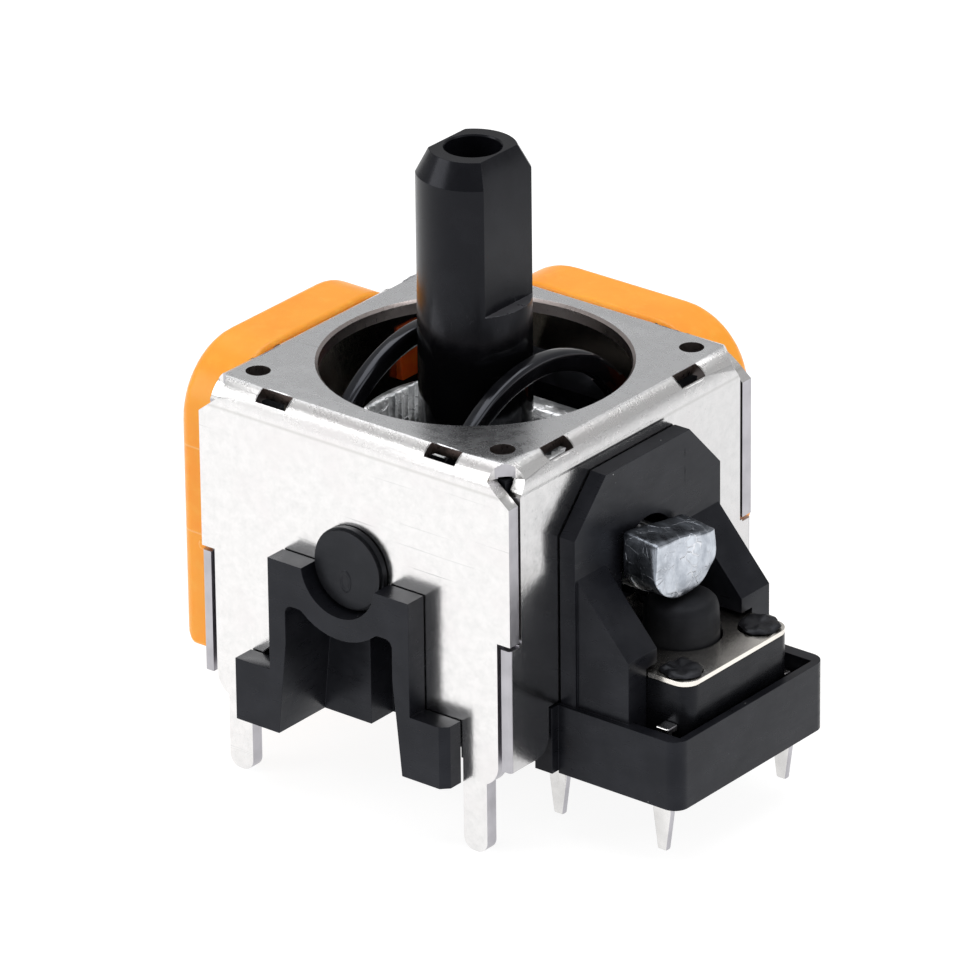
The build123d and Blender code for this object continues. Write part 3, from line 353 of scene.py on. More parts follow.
def raw_zinc(name, dark, light, roughness, pitting, torn):
    """Cast zinc: blue-grey clouds, pits, and bright curved marks where it tore."""
    made, shader = material(name, light, roughness, 1.0)
    lumps = grain(made, place(made), 1.5, 5.0, 0.6)
    clouds = grain(made, place(made, (1.0, 1.3, 0.9), (0, 0, 20)), 1.1, 6.0, 0.65)
    bent = add(made, "ShaderNodeVectorMath", Vector=place(made))
    drift = add(made, "ShaderNodeTexNoise", Vector=place(made), Scale=0.8, Detail=2.0)
    link(made, drift.outputs["Color"], bent.inputs[1])
    cells = add(made, "ShaderNodeTexVoronoi", Vector=bent.outputs["Vector"], Scale=1.7)
    cells.feature = "DISTANCE_TO_EDGE"
    tears = maths(made, "MULTIPLY", spread(made, cells.outputs["Distance"], 0.045, 0.0),
                  spread(made, clouds, 0.46, 0.56))
    pits = specks(made, 3.4, 0.13)
    shade = tint(made, spread(made, clouds, 0.36, 0.64), dark, light)
    shade = tint(made, maths(made, "MULTIPLY", tears, torn), shade, (0.95, 0.96, 1.0))
    shade = tint(made, maths(made, "MULTIPLY", pits, 0.7), shade, (0.12, 0.13, 0.15))
    link(made, shade, shader.inputs["Base Color"])
    link(made, spread(made, clouds, 0.3, 0.7, roughness - 0.1, roughness + 0.1), shader.inputs["Roughness"])
    relief(made, shader, (lumps, 0.6, 0.06 * pitting), (clouds, 0.4, 0.03 * pitting),
           (tears, 0.6, 0.03 * pitting), (pits, 0.8, -0.03 * pitting))
    return made


SHEET = tinned_sheet("tinned_sheet", 0.0)
# The sheet's copy for the +X wall, painted darker as shade.
SHADED_SHEET = tinned_sheet("shaded_sheet", 0.32)
PUNCHED = metal("punched_edge", (0.42, 0.37, 0.355), 0.3, 9.0, 0.006, (1, 1, 0.4))
# The shell's inside: a darker, browner copy of the steel, which is painted shade with a brownish painted
# reflection.
SHADED_INSIDE_SHEET = metal("inside_sheet_shaded", (0.42, 0.38, 0.33), 0.2, 8.0, 0.01)
BLACK = moulded_plastic("black_moulding", (0.0055, 0.0058, 0.0078), 0.3, 0.24)
GREASED = moulded_plastic("greased_rocker", (0.003, 0.003, 0.004), 0.13, 0.5, dust=False)
DISC_BLACK = moulded_plastic("disc_face", (0.0065, 0.0067, 0.008), 0.34, 0.27, fine_depth=0.008)
SEAT_BLACK = moulded_plastic("seat_black", (0.01, 0.01, 0.012), 0.4, dust=False)
CASE_BLACK = moulded_plastic("switch_black", (0.003, 0.0032, 0.0042), 0.26, 0.2)
RUBBER = moulded_plastic("button_black", (0.009, 0.0092, 0.0105), 0.5, 0.18, dust=False, fine_depth=0.01)
STAKED = moulded_plastic("staked_black", (0.006, 0.006, 0.007), 0.4, 0.25, fine_depth=0.02)
STEM_BLACK = stem_plastic()
ORANGE = orange_moulding("orange_moulding", (0.97, 0.34, 0.025), (0.98, 0.39, 0.035), (0.98, 0.42, 0.05))
TAB_ORANGE = orange_moulding("shaded_orange", (0.8, 0.09, 0.01), (0.85, 0.13, 0.015), (0.9, 0.16, 0.02))
ZINC = raw_zinc("cast_zinc", (0.5, 0.52, 0.54), (0.95, 0.96, 0.97), 0.42, 1.6, 0.9)
GATE_ZINC = raw_zinc("cut_zinc", (0.36, 0.39, 0.44), (0.7, 0.74, 0.8), 0.36, 1.0, 0.8)
# A darker copy of the zinc for the push head's sides and top: painted shade.
SHADED_HEAD_ZINC = raw_zinc("head_sides_shaded", (0.17, 0.185, 0.21), (0.33, 0.36, 0.41), 0.32, 0.7, 0.25)
# A lighter copy of the stem's black for its ledges: a painted highlight.
LIT_LEDGE_BLACK = moulded_plastic("stem_ledge_lit", (0.05, 0.05, 0.055), 0.3, 0.5, dust=False)
SHEARED = metal("sheared_edge", (0.5, 0.49, 0.52), 0.34, 8.0, 0.01, (1, 1, 0.3))
NICKEL = metal("cover_nickel", (0.9, 0.86, 0.8), 0.2, 14.0, 0.0004)
TIN = metal("tinned_pins", (0.8, 0.79, 0.78), 0.18, 5.0, 0.012, (1, 1, 0.3))
PIN_STEEL = metal("ground_steel", (0.55, 0.55, 0.55), 0.3)
SPRING_STEEL = metal("spring_wire", (0.6, 0.6, 0.58), 0.26)
BRASS = metal("brush_brass", (0.78, 0.6, 0.28), 0.3)
BOARD = moulded_plastic("track_board", (0.09, 0.045, 0.02), 0.5, dust=False)
WHITE = moulded_plastic("rotor_white", (0.68, 0.67, 0.62), 0.45, dust=False)

finishes = {
    "shell": SHEET, "base_housing": BLACK, "stick": STEM_BLACK, "pivot_pin": PIN_STEEL,
    "upper_rocker": GREASED, "lower_rocker": ZINC, "spring_seat": SEAT_BLACK, "return_spring": SPRING_STEEL,
    "pot_housing_x": ORANGE, "pot_housing_y": ORANGE, "resistive_track_x": BOARD, "resistive_track_y": BOARD,
    "pot_terminals_x": TIN, "pot_terminals_y": TIN, "wiper_rotor_x": WHITE, "wiper_rotor_y": WHITE,
    "wiper_brush_x": BRASS, "wiper_brush_y": BRASS, "switch_body": CASE_BLACK, "switch_cover": NICKEL,
    "switch_button": RUBBER, "switch_dome": SPRING_STEEL, "switch_terminals": TIN,
}
for node, finish in finishes.items():
    nodes[node].data.materials.clear()
    nodes[node].data.materials.append(finish)


# Ways of making pieces

def finished(work, name, coats, body, smooth=32):
    """Turns a bmesh into a piece that rides on a body. Faces pick among the coats, the first by default."""
    mesh = bpy.data.meshes.new(name)
    work.to_mesh(mesh)
    work.free()
    piece = bpy.data.objects.new(name, mesh)
    bpy.context.scene.collection.objects.link(piece)
    for coat in coats:
        mesh.materials.append(coat)
    mesh.shade_smooth()
    mesh.set_sharp_from_angle(angle=math.radians(smooth))
    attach(piece, body)
    return piece


def round_edges(piece, width, sharp=35, segments=2):
    """Rounds a piece's sharp edges by a width in millimetres."""
    bevel = piece.modifiers.new("edges", "BEVEL")
    bevel.width = width * MM
    bevel.segments = segments
    bevel.limit_method = "ANGLE"
    bevel.angle_limit = math.radians(sharp)
    bevel.use_clamp_overlap = True
    bevel.harden_normals = True


def plain_copy(node):
    """A copy of a solid's mesh, its corners merged."""
    work = bmesh.new()
    work.from_mesh(nodes[node].data)
    bmesh.ops.remove_doubles(work, verts=work.verts, dist=0.0005 * MM)
    return work


def merged_copy(node):
    """A copy of a solid's mesh with its triangles merged into flat faces."""
    work = plain_copy(node)
    bmesh.ops.dissolve_limit(
        work, angle_limit=math.radians(1.5), verts=work.verts, edges=work.edges, delimit={"NORMAL"}
    )
    return work


def cut_off(work, point, outward):
    """Cuts off what lies outward of a plane through a point in millimetres, and closes the cut."""
    cut = bmesh.ops.bisect_plane(
        work, geom=work.verts[:] + work.edges[:] + work.faces[:], dist=0.0001 * MM,
        plane_co=Vector(point) * MM, plane_no=outward, clear_outer=True
    )
    rim = [item for item in cut["geom_cut"] if isinstance(item, bmesh.types.BMEdge)]
    bmesh.ops.holes_fill(work, edges=rim, sides=0)


def rounded_solid(node, name, width, body, segments=2):
    """A solid's copy with rounded edges, standing for it."""
    piece = finished(merged_copy(node), name, [finishes[node]], body)
    round_edges(piece, width, segments=segments)
    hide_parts(node)


def turned_shape(profile, steps):
    """A turned bmesh about the vertical through the origin, from radii and heights in millimetres."""
    work = bmesh.new()
    corners = [work.verts.new((radius * MM, 0, height * MM)) for radius, height in profile]
    runs = [work.edges.new(pair) for pair in zip(corners, corners[1:])]
    bmesh.ops.spin(work, geom=corners + runs, cent=(0, 0, 0), axis=UP, angle=math.tau, steps=steps,
                   use_merge=True)
    bmesh.ops.remove_doubles(work, verts=work.verts, dist=0.0005 * MM)
    bmesh.ops.recalc_face_normals(work, faces=work.faces)
    return work


def moved(work, offset):
    """Moves a bmesh by an offset in millimetres."""
    bmesh.ops.translate(work, vec=Vector(offset) * MM, verts=work.verts)


def ragged_fin(work, path, outward, height, thickness, seed):
    """Adds a thin fin of flash or burr along a path, its edge ragged by noise. All in millimetres."""
    rows = len(path) - 1
    grid = bmesh.ops.create_grid(work, x_segments=rows, y_segments=1, size=0.5)
    corners = grid["verts"]
    for vert in corners:
        at = round((vert.co.x + 0.5) * rows)
        point, out = Vector(path[at]), Vector(outward[at])
        if vert.co.y > 0:
            ragged = 0.35 + 0.9 * abs(noise.noise(point * 2.7 + Vector((seed, 0, 0))))
            ends = min(1.0, 4.0 * min(at, rows - at) / rows + 0.15)
            point = point + out * height * ragged * ends
        else:
            point = point - out * 0.02
        vert.co = point * MM
    faces = list({face for vert in corners for face in vert.link_faces})
    bmesh.ops.solidify(work, geom=faces, thickness=thickness * MM)


def straight(start, end, count):
    """Points on a straight line, its ends among them."""
    start, end = Vector(start), Vector(end)
    return [start.lerp(end, step / count) for step in range(count + 1)]


# Steel shell

def punched_square(vert):
    """Moves a window's corner to where the punch went into the bend: square to it, a little smaller."""
    across, deep, high = vert.co / MM
    out, side = max(abs(across), abs(deep)), min(abs(across), abs(deep))
    if high < WINDOW_LOW - NEAR or out < BEND_OUT - NEAR or abs(side - WINDOW_AT) > WINDOW_HALF + NEAR:
        return
    reach = math.hypot(out - BEND_OUT, high - BEND_UP)
    lean = math.degrees(math.atan2(out - BEND_OUT, high - BEND_UP))
    lean = math.radians(max(PUNCH_FROM, min(PUNCH_TO, lean)))
    out, high = BEND_OUT + reach * math.sin(lean), BEND_UP + reach * math.cos(lean)
    side = max(WINDOW_AT - PUNCH_HALF, min(WINDOW_AT + PUNCH_HALF, side))
    if abs(across) > abs(deep):
        vert.co = Vector((math.copysign(out, across), math.copysign(side, deep), high)) * MM
    else:
        vert.co = Vector((math.copysign(side, across), math.copysign(out, deep), high)) * MM


def shell_coat(face):
    """The coat that a face of the shell takes."""
    across, deep, high = face.calc_center_median() / MM
    out, side = max(abs(across), abs(deep)), min(abs(across), abs(deep))
    radius = math.hypot(across, deep)
    facing, tipped = face.normal, abs(face.normal.z)
    opening_reach, hole_reach, hole_out, corner_in, corner_down = 0.12, 0.6, 6.1, 0.5, 3.0

    by_window = abs(side - WINDOW_AT) < WINDOW_HALF + NEAR and out > BEND_OUT - NEAR
    window_edge = by_window and high > WINDOW_LOW - NEAR and (tipped < 0.1 or high < WINDOW_LOW + NEAR)
    opening_edge = abs(radius - OPENING_R) < opening_reach and high > PLATE_LOW - NEAR and tipped < 0.9
    by_hole = abs(radius - HOLE_AT) < hole_reach and out < hole_out
    hole_edge = by_hole and high > PLATE_LOW - SHEET_THICK and tipped < 0.5
    if window_edge or opening_edge or hole_edge:
        return PUNCHED

    # Inside faces take the darker inside copy: painted shade.
    wall_inside = high < PLATE_LOW + NEAR and abs(out - SHELL_INNER) < NEAR
    plate_inside = abs(high - PLATE_LOW) < NEAR
    if wall_inside or plate_inside:
        return SHADED_INSIDE_SHEET

    within_sheet = any(SHELL_INNER + 2 * NEAR < reach < SHELL_HALF - 2 * NEAR for reach in (out, side))
    wall_edge = high < BEND_UP and within_sheet
    diagonal = abs(abs(facing.x) - abs(facing.y)) < 0.5 and tipped < 0.8
    corner_edge = diagonal and out > SHELL_INNER - corner_in and high > SHELL_TOP - corner_down
    if wall_edge or corner_edge:
        return SHEARED
    # Faces turned to +X take the darker copy: painted shade on that wall.
    return SHADED_SHEET if facing.x > 0.9 else SHEET


def sheet_shell():
    """The shell with rounded edges. Punched and sheared edges are darker; the inside and the +X wall take
    darker copies of the sheet, which are painted shade.
    """
    coats = [SHEET, PUNCHED, SHADED_INSIDE_SHEET, SHEARED, SHADED_SHEET]
    work = merged_copy("shell")
    for face in work.faces:
        face.material_index = coats.index(shell_coat(face))
    for vert in work.verts:
        across, deep, high = vert.co / MM
        by_slot = SLOT_SIDE[0] < across < SLOT_SIDE[1] and deep < -SHELL_INNER + NEAR
        if by_slot and abs(high - SLOT_HIGH) < 2 * NEAR:
            vert.co.z = SLOT_LOWERED * MM
        punched_square(vert)
    work.normal_update()
    piece = finished(work, "sheet_shell", coats, "housing")
    round_edges(piece, 0.07, segments=3)
    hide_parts("shell")


def bend_way(lean):
    """The way out of the front bend, leaning forward by so many degrees."""
    angle = math.radians(lean)
    return Vector((0, -math.sin(angle), math.cos(angle)))


def window_burrs():
    """Lips raised by the punch round the windows in the bent edges."""
    side_steps, side_gap, side_sunk, side_proud, side_thick = 7, 0.03, 0.01, 0.05, 0.06
    end_steps, end_past, end_sunk, end_proud, end_thick = 10, 3, 0.015, 0.045, 0.05
    end_half = Vector((0.6, 0, 0))
    work = bmesh.new()
    ways = []
    for step in range(side_steps + 1):
        ways.append(bend_way(PUNCH_FROM + (PUNCH_TO - PUNCH_FROM) * step / side_steps))
    for quarter in range(4):
        turn = Matrix.Rotation(math.radians(90 * quarter), 3, "Z")
        for at in (-WINDOW_AT, WINDOW_AT):
            for end in (-1, 1):
                centre = Vector((at + end * (PUNCH_HALF + side_gap), -BEND_OUT, BEND_UP))
                path = [turn @ (centre + way * (BEND_R - side_sunk)) for way in ways]
                outward = [turn @ way for way in ways]
                ragged_fin(work, path, outward, side_proud, side_thick, 3.0 * quarter + at + end)
            for lean in (PUNCH_FROM - end_past, PUNCH_TO + end_past):
                way = bend_way(lean)
                middle = Vector((at, -BEND_OUT, BEND_UP)) + way * (BEND_R - end_sunk)
                path = [turn @ point for point in straight(middle - end_half, middle + end_half, end_steps)]
                outward = [turn @ way] * (end_steps + 1)
                ragged_fin(work, path, outward, end_proud, end_thick, at + quarter + lean)
    finished(work, "window_burrs", [SHEET], "housing", smooth=60)


def corner_burr():
    """The torn lip at the far corner, beside the stem."""
    points, start_y, pitch, from_x = 9, 3.5, 0.14, -6.2
    proud, thick, seed = 0.16, 0.12, 4.0
    work = bmesh.new()
    rim = [(from_x, start_y + pitch * step, SHELL_TOP - 0.1) for step in range(points)]
    ragged_fin(work, rim, [Vector((-0.1, 0, 1))] * points, proud, thick, seed)
    finished(work, "corner_burr", [SHEET], "housing", smooth=60)


sheet_shell()
window_burrs()
corner_burr()


# Black moulding, its flash lines and the resistor boxes

def flash_lines():
    """Thin flash on the tray's rim, the holder plate and the bracket, where the mould parts met."""
    forward, ahead, thick = Vector((1, 0, 0)), Vector((0, -1, 0)), 0.03
    tray_z, tray_y, tray_x, plate_x, bracket_y, bracket_z = 2.59, -3.77, 11.68, 7.49, -7.67, 5.03
    lines = (
        ((7.1, tray_y, tray_z), (11.3, tray_y, tray_z), UP, 60, 0.045, 1.0),
        ((tray_x, -3.6, tray_z), (tray_x, 3.6, tray_z), UP, 60, 0.03, 2.0),
        ((plate_x, 2.08, 7.6), (plate_x, 2.08, 10.7), forward, 24, 0.02, 5.0),
        ((-3.08, bracket_y, bracket_z), (-2.4, bracket_y, bracket_z), ahead, 8, 0.02, 6.0),
    )
    work = bmesh.new()
    for start, end, outward, steps, proud, seed in lines:
        ragged_fin(work, straight(start, end, steps), [outward] * (steps + 1), proud, thick, seed)
    finished(work, "flash_lines", [BLACK], "housing", smooth=50)


rounded_solid("base_housing", "moulding", 0.07, "housing")
flash_lines()


def reshaped_box(work):
    """Takes the taper off a box's near side, brings its far side in and lets its foot down."""
    half_low, widens, taper_from, taper_tall = 4.85, 0.3, 0.8, 6.05
    near_half, far_half, side_reach = 5.2, 4.75, 5.3
    foot_below, foot_drop = 1.0, 0.1
    for vert in work.verts:
        deep, high = (vert.co / MM).yz
        half = half_low + widens * min(1.0, max(0.0, (high - taper_from) / taper_tall))
        if abs(deep) < side_reach:
            vert.co.y = deep * (near_half if deep < 0 else far_half) / half * MM
        if high < foot_below:
            vert.co.z = (high - foot_drop) * MM


def resistor_box(node, name, reshaped):
    """An orange box with soft edges."""
    work = merged_copy(node)
    if reshaped:
        reshaped_box(work)
    piece = finished(work, name, [ORANGE], "housing")
    round_edges(piece, 0.24, segments=3)
    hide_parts(node)


def snap_tabs():
    """The boxes' snap tabs, which show inside the shell on its two resistor walls."""
    size, middle, lean = Vector((0.32, 1.15, 2.0)) * MM, Vector((-6.14, 3.95, 9.5)) * MM, 0.22 * MM
    work = bmesh.new()
    for angle in (0, -90):
        turn = Matrix.Rotation(math.radians(angle), 3, "Z")
        made = bmesh.ops.create_cube(work, size=1.0)["verts"]
        bmesh.ops.scale(work, vec=size, verts=made)
        bmesh.ops.translate(work, vec=middle, verts=made)
        for vert in made:
            if vert.co.x > middle.x and vert.co.z > middle.z:
                vert.co.x -= lean
        bmesh.ops.rotate(work, cent=(0, 0, 0), matrix=turn, verts=made)
    piece = finished(work, "snap_tabs", [TAB_ORANGE], "housing")
    round_edges(piece, 0.08)


resistor_box("pot_housing_x", "resistor_box_x", reshaped=True)
resistor_box("pot_housing_y", "resistor_box_y", reshaped=False)
snap_tabs()
rounded_solid("pot_terminals_x", "resistor_pins_x", 0.06, "housing")
rounded_solid("pot_terminals_y", "resistor_pins_y", 0.06, "housing")


# Stem

def stem():
    """Turned stem: spun, then pressed flat on two sides above the ledges."""
    work = turned_shape([
        (0, STICK_FOOT), (1.1, STICK_FOOT), (STICK_R, STICK_FOOT + 0.8), (STICK_R, 9.0),
        (STICK_R, FLAT_LOW), (STICK_R, FLAT_LOW + 0.02), (STICK_R, 17.0), (STICK_R, TAPER_LOW),
        (1.53, STICK_TOP), (1.04, STICK_TOP), (BORE_R, STICK_TOP - 0.06), (BORE_R, BORE_LOW),
        (0, BORE_LOW - 0.02),
    ], 96)
    outside_r = BORE_R + 0.2
    for vert in work.verts:
        across, deep, high = vert.co / MM
        if high > FLAT_LOW + NEAR and math.hypot(across, deep) > outside_r:
            most = FLAT_HALF - TAPER_IN * max(0.0, (high - TAPER_LOW) / (STICK_TOP - TAPER_LOW))
            vert.co.x = max(-most, min(most, across)) * MM
    work.normal_update()
    # The ledge faces take the lighter copy: a painted highlight.
    for face in work.faces:
        at = face.calc_center_median() / MM
        if face.normal.z > 0.7 and abs(at.z - FLAT_LOW) < 0.1 and math.hypot(at.x, at.y) > outside_r:
            face.material_index = 1
    piece = finished(work, "stem", [STEM_BLACK, LIT_LEDGE_BLACK], "stem", smooth=24)
    round_edges(piece, 0.07, sharp=24, segments=3)
    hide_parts("stick")


stem()


# Rockers

def gate_mark():
    """Small oval gate mark on the journal disc's face, a little below its middle."""
    quarter = Matrix.Rotation(math.radians(90), 3, "X")
    work = turned_shape([
        (0.0, -0.01), (0.16, -0.01), (0.2, 0.015), (0.25, 0.025), (0.3, 0.012), (0.33, -0.02), (0.0, -0.02),
    ], 28)
    bmesh.ops.rotate(work, cent=(0, 0, 0), matrix=quarter, verts=work.verts)
    bmesh.ops.scale(work, vec=(0.8, 1.0, 1.35), verts=work.verts)
    moved(work, (-0.06, DISC_FACE_Y, 6.4))
    finished(work, "gate_mark", [DISC_BLACK], "arch")


def round_band(work, middle):
    """Adds one band of the arch: a rounded section spun over the top."""
    corners, squareness, lean, steps = 28, 0.55, 52, 72
    section = []
    for corner in range(corners):
        angle = math.tau * corner / corners
        wide, tall = math.cos(angle), math.sin(angle)
        side = middle + BAND_HALF * math.copysign(abs(wide) ** squareness, wide)
        reach = BAND_R + BAND_TALL * math.copysign(abs(tall) ** squareness, tall)
        start = Matrix.Rotation(math.radians(lean), 3, "X") @ Vector((0, 0, reach))
        section.append(work.verts.new((side * MM, start.y * MM, (start.z + PIVOT_Z) * MM)))
    loop = [work.edges.new(pair) for pair in zip(section, section[1:] + section[:1])]
    bmesh.ops.spin(work, geom=section + loop, cent=(0, 0, PIVOT_Z * MM), axis=(1, 0, 0),
                   angle=math.radians(-2 * lean), steps=steps)


def arch():
    """Arch with round, greased bands over its foot pieces; the journal disc in front stays dry."""
    work = merged_copy("upper_rocker")
    cut_off(work, (0, 0, BAND_CUT_Z), (0, 0, 1))
    for face in work.faces:
        if face.calc_center_median().y < -SHELL_HALF * MM:
            face.material_index = 1
    piece = finished(work, "arch_foot", [GREASED, DISC_BLACK], "arch")
    round_edges(piece, 0.1, segments=3)
    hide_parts("upper_rocker")
    work = bmesh.new()
    for middle in (-BAND_X, BAND_X):
        round_band(work, middle)
    bmesh.ops.holes_fill(work, edges=[edge for edge in work.edges if edge.is_boundary], sides=0)
    bmesh.ops.recalc_face_normals(work, faces=work.faces)
    piece = finished(work, "arch_bands", [GREASED], "arch", smooth=50)
    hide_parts("upper_rocker")


def cast_frame():
    """The casting with its neck cut short under the push head, rough-edged as it left the mould."""
    work = plain_copy("lower_rocker")
    cut_off(work, (HEAD_CUT_X + NECK_OVERLAP, 0, PIVOT_Z), (1, 0, 0))
    for vert in work.verts:
        if vert.co.x > NECK_FROM_X * MM:
            vert.co.z = min(vert.co.z, NECK_TOP * MM)
    piece = finished(work, "cast_frame", [ZINC], "cast_rocker", smooth=55)
    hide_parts("lower_rocker")


def head_corner(forward, side, high):
    """Where a corner of the push head's block goes: round belly, slanted top, uneven skin. In millimetres."""
    length, face_deep = HEAD_FACE_X - HEAD_CUT_X, 0.25
    lean_out, lean_side, swell, dent, wobble = 0.2, 0.62, 0.22, 0.09, 0.05
    reach = math.hypot(side, high - BELLY_Z)
    if high < BELLY_Z and reach > BELLY_R:
        side *= BELLY_R / reach
        high = BELLY_Z + (high - BELLY_Z) * BELLY_R / reach
    if high > BELLY_Z:
        slant = lean_out * (forward - HEAD_CUT_X) / length + lean_side * (side + HEAD_HALF) / (2 * HEAD_HALF)
        high -= (high - BELLY_Z) / (HEAD_TOP - BELLY_Z) * slant
    at = Vector((forward, side, high))
    face_on = max(0.0, min(1.0, (forward - HEAD_FACE_X + face_deep) / face_deep))
    forward += face_on * (swell * noise.noise(at * 0.8) + wobble * noise.noise(at * 2.6) - dent)
    side += wobble * noise.noise(at * 1.3 + Vector((7, 0, 0)))
    high += wobble * noise.noise(at * 1.1 + Vector((0, 9, 0)))
    return min(forward, HEAD_FACE_X), side, max(high, HEAD_LOW)


def push_head():
    """Lump of cast zinc over the button: slanted top, round belly, and a face left uneven by the cut gate."""
    length, tall, long_edge = HEAD_FACE_X - HEAD_CUT_X, HEAD_TOP - HEAD_LOW, 0.5
    work = bmesh.new()
    bmesh.ops.create_cube(work, size=1.0)
    bmesh.ops.scale(work, vec=Vector((length, 2 * HEAD_HALF, tall)) * MM, verts=work.verts)
    moved(work, (HEAD_CUT_X + length / 2, 0, (HEAD_TOP + HEAD_LOW) / 2))
    bmesh.ops.bevel(work, geom=work.edges[:], offset=0.2 * MM, offset_type="OFFSET", segments=2, profile=0.5,
                    affect="EDGES", material=-1, clamp_overlap=True)
    edges = [edge for edge in work.edges if edge.calc_length() > long_edge * MM]
    bmesh.ops.subdivide_edges(work, edges=edges, cuts=7, use_grid_fill=True)
    for vert in work.verts:
        vert.co = Vector(head_corner(*(vert.co / MM))) * MM
    work.normal_update()
    # The front face takes the cut zinc; the sides and top take the darker copy, which is painted shade.
    for face in work.faces:
        face.material_index = 0 if face.normal.x > 0.8 else 1
    piece = finished(work, "push_head", [GATE_ZINC, SHADED_HEAD_ZINC], "cast_rocker", smooth=180)
    soft = piece.modifiers.new("soft", "SUBSURF")
    soft.levels = soft.render_levels = 2
    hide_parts("lower_rocker")


arch()
gate_mark()
cast_frame()
push_head()


# Push switch

def switch_case():
    """Switch case cut level under its lid: the stakes above are pieces of their own."""
    work = merged_copy("switch_body")
    cut_off(work, (SWITCH_X, 0, SWITCH_TOP + NEAR), (0, 0, 1))
    piece = finished(work, "switch_case", [CASE_BLACK], "housing")
    round_edges(piece, 0.09, segments=3)
    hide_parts("switch_body")


def stake(name, x, y, seed):
    """A post end melted over the lid: a flat, uneven button."""
    post_r, coarse, fine, swelling, lifting, gap = 0.56, 1.6, 1.9, 0.3, 0.1, 0.005
    work = turned_shape([
        (0, SWITCH_TOP), (post_r, SWITCH_TOP), (post_r, LID_TOP - 0.02), (0.7, LID_TOP + gap),
        (0.74, LID_TOP + 0.06), (0.68, LID_TOP + 0.14), (0.5, LID_TOP + 0.17), (0.3, LID_TOP + 0.13),
        (0, LID_TOP + 0.12),
    ], 48)
    for vert in work.verts:
        side, deep, high = vert.co / MM
        if high > LID_TOP:
            way = Vector((side, deep, 0)) * coarse + Vector((seed, seed, 0))
            swell = 1.0 + swelling * noise.noise(way)
            lift = lifting * noise.noise(way * fine)
            vert.co = Vector((side * swell, deep * swell, max(LID_TOP + gap, high + lift))) * MM
    moved(work, (x, y, 0))
    piece = finished(work, name, [STAKED], "housing", smooth=50)
    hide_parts("switch_body")


def switch_lid():
    """Nickel lid with a full round edge."""
    piece = finished(merged_copy("switch_cover"), "switch_lid", [NICKEL], "housing")
    round_edges(piece, 0.075, segments=4)
    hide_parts("switch_cover")


def plunger():
    """Rubbery button: flange under the lid, slightly tapered barrel, soft top edge."""
    work = turned_shape([
        (0, 2.66), (0.6, 2.66), (0.6, 3.3), (1.74, 3.3), (1.74, 3.8), (1.36, 3.8), (1.34, 4.3), (1.33, 4.9),
        (1.3, 5.3), (1.24, 5.48), (1.12, 5.6), (0.95, 5.66), (0.6, 5.67), (0, 5.66),
    ], 64)
    moved(work, (BUTTON_X, BUTTON_Y, 0))
    piece = finished(work, "switch_plunger", [RUBBER], "button", smooth=40)
    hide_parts("switch_button")


def switch_pins():
    """Tinned switch pins with softened edges; the far pair sits lower in its gutter."""
    work = merged_copy("switch_terminals")
    shoulder_above, far_drop = 2.2, 0.5
    for vert in work.verts:
        if vert.co.y > 0 and vert.co.z > shoulder_above * MM:
            vert.co.z -= far_drop * MM
    work.normal_update()
    for face in work.faces:
        face.material_index = 1 if face.normal.x > 0.5 else 0
    piece = finished(work, "switch_pins", [TIN, SHEARED], "housing")
    round_edges(piece, 0.07, segments=3)
    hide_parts("switch_terminals")


switch_case()
stake("switch_stake_1", SWITCH_X + STAKE_AT, -STAKE_AT - STAKE_SPREAD, 3.0)
stake("switch_stake_2", SWITCH_X + STAKE_AT, STAKE_AT + STAKE_SPREAD, 11.0)
stake("switch_stake_3", SWITCH_X - STAKE_AT, -STAKE_AT, 17.0)
stake("switch_stake_4", SWITCH_X - STAKE_AT, STAKE_AT, 23.0)
switch_lid()
plunger()
switch_pins()


# Sprung parts, which shorten as the stem is pushed; here each is a plain copy with a mesh of its own

def sprung(node, name):
    """A sprung part's copy, standing on its foot, with a mesh of its own."""
    work = plain_copy(node)
    piece = finished(work, name, [finishes[node]], "housing", smooth=50)
    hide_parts(node)
    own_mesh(piece)


sprung("return_spring", "centring_spring")
sprung("switch_dome", "snap_dome")


# Floor, light and camera

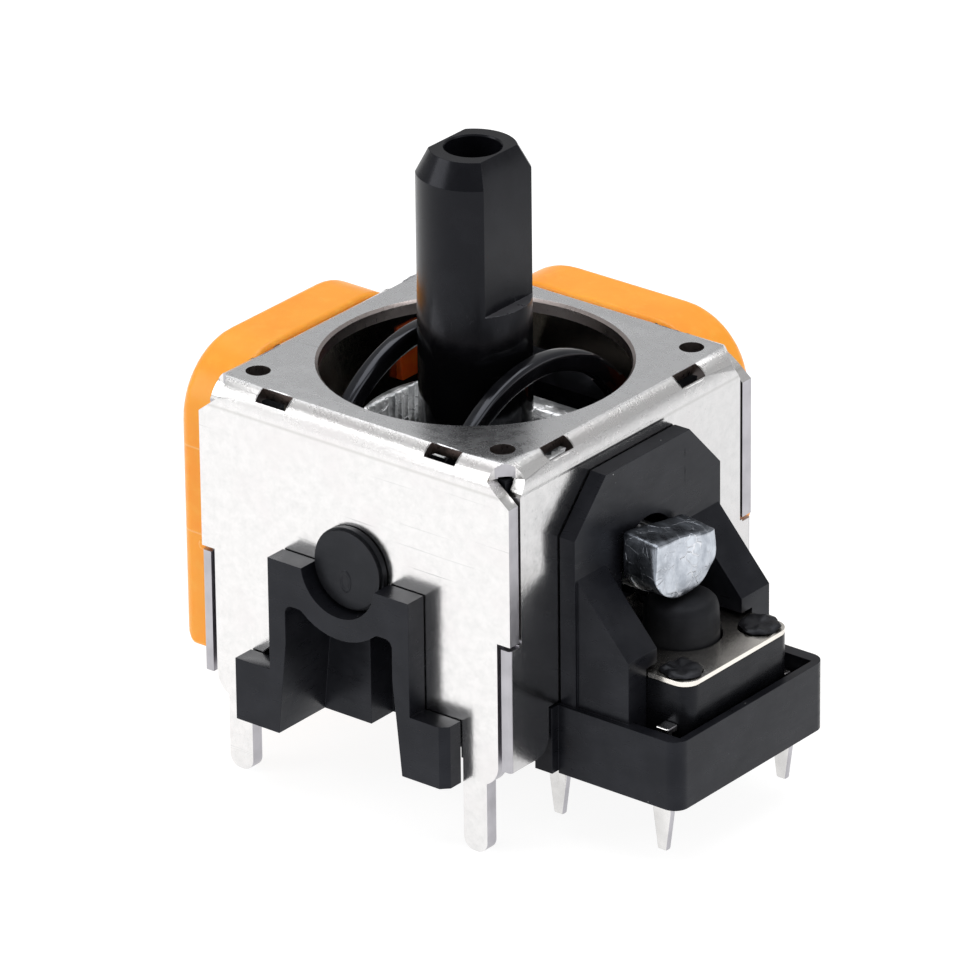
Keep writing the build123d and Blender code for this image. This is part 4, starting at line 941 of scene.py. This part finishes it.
FLOOR_HALF = 3.0
FLOOR_GAP = 0.02
floor_mesh = bpy.data.meshes.new("floor")
work = bmesh.new()
bmesh.ops.create_grid(work, x_segments=2, y_segments=2, size=FLOOR_HALF)
work.to_mesh(floor_mesh)
work.free()
floor = bpy.data.objects.new("floor", floor_mesh)
bpy.context.scene.collection.objects.link(floor)
floor.location = (0, 0, cad_low.z - FLOOR_GAP * MM)
paper, paper_shader = material("pale_floor", (0.22, 0.22, 0.22), 0.8)
paper_shader.inputs["Emission Color"].default_value = (1.0, 1.0, 1.0, 1.0)
paper_shader.inputs["Emission Strength"].default_value = 0.9
floor_mesh.materials.append(paper)

bpy.context.scene.view_settings.view_transform = "Standard"
world = bpy.data.worlds.new("studio")
bpy.context.scene.world = world
world.use_nodes = True
sky = world.node_tree.nodes["Background"]
sky.inputs["Color"].default_value = (1.0, 1.0, 1.0, 1.0)
sky.inputs["Strength"].default_value = 0.45


def soft_light(name, place_mm, aim_mm, side_mm, power):
    """A square softbox aimed at a point."""
    lamp = bpy.data.lights.new(name, "AREA")
    lamp.shape = "SQUARE"
    lamp.size = side_mm * MM
    lamp.energy = power
    holder = bpy.data.objects.new(name, lamp)
    bpy.context.scene.collection.objects.link(holder)
    holder.location = Vector(place_mm) * MM
    holder.rotation_euler = (Vector(aim_mm) - Vector(place_mm)).to_track_quat("-Z", "Y").to_euler()


soft_light("top_box", (-10, 30, 220), (0, 0, 6), 220, 0.34)
soft_light("left_box", (-170, -190, 120), (0, 0, 6), 150, 0.19)
soft_light("right_box", (240, 20, 110), (0, 0, 8), 150, 0.09)

AZIMUTH = math.radians(38.576)
ELEVATION = math.radians(25.031)
ROLL = math.radians(-0.62)
CAMERA_AT = Vector((178.41, -222.95, 140.54))
level = Vector((math.cos(AZIMUTH), math.sin(AZIMUTH), 0))
back = Vector((
    math.sin(AZIMUTH) * math.cos(ELEVATION), -math.cos(AZIMUTH) * math.cos(ELEVATION), math.sin(ELEVATION),
))
upright = back.cross(level)
right = level * math.cos(ROLL) + upright * math.sin(ROLL)
above = upright * math.cos(ROLL) - level * math.sin(ROLL)
camera = bpy.data.objects.new("camera", bpy.data.cameras.new("camera"))
bpy.context.scene.collection.objects.link(camera)
bpy.context.scene.camera = camera
turn = Matrix((right, above, back)).transposed().to_4x4()
camera.matrix_world = Matrix.Translation(CAMERA_AT * MM) @ turn
camera.data.sensor_width = 36.0
camera.data.lens = 333.2
camera.data.clip_start = 0.02
camera.data.clip_end = 20.0
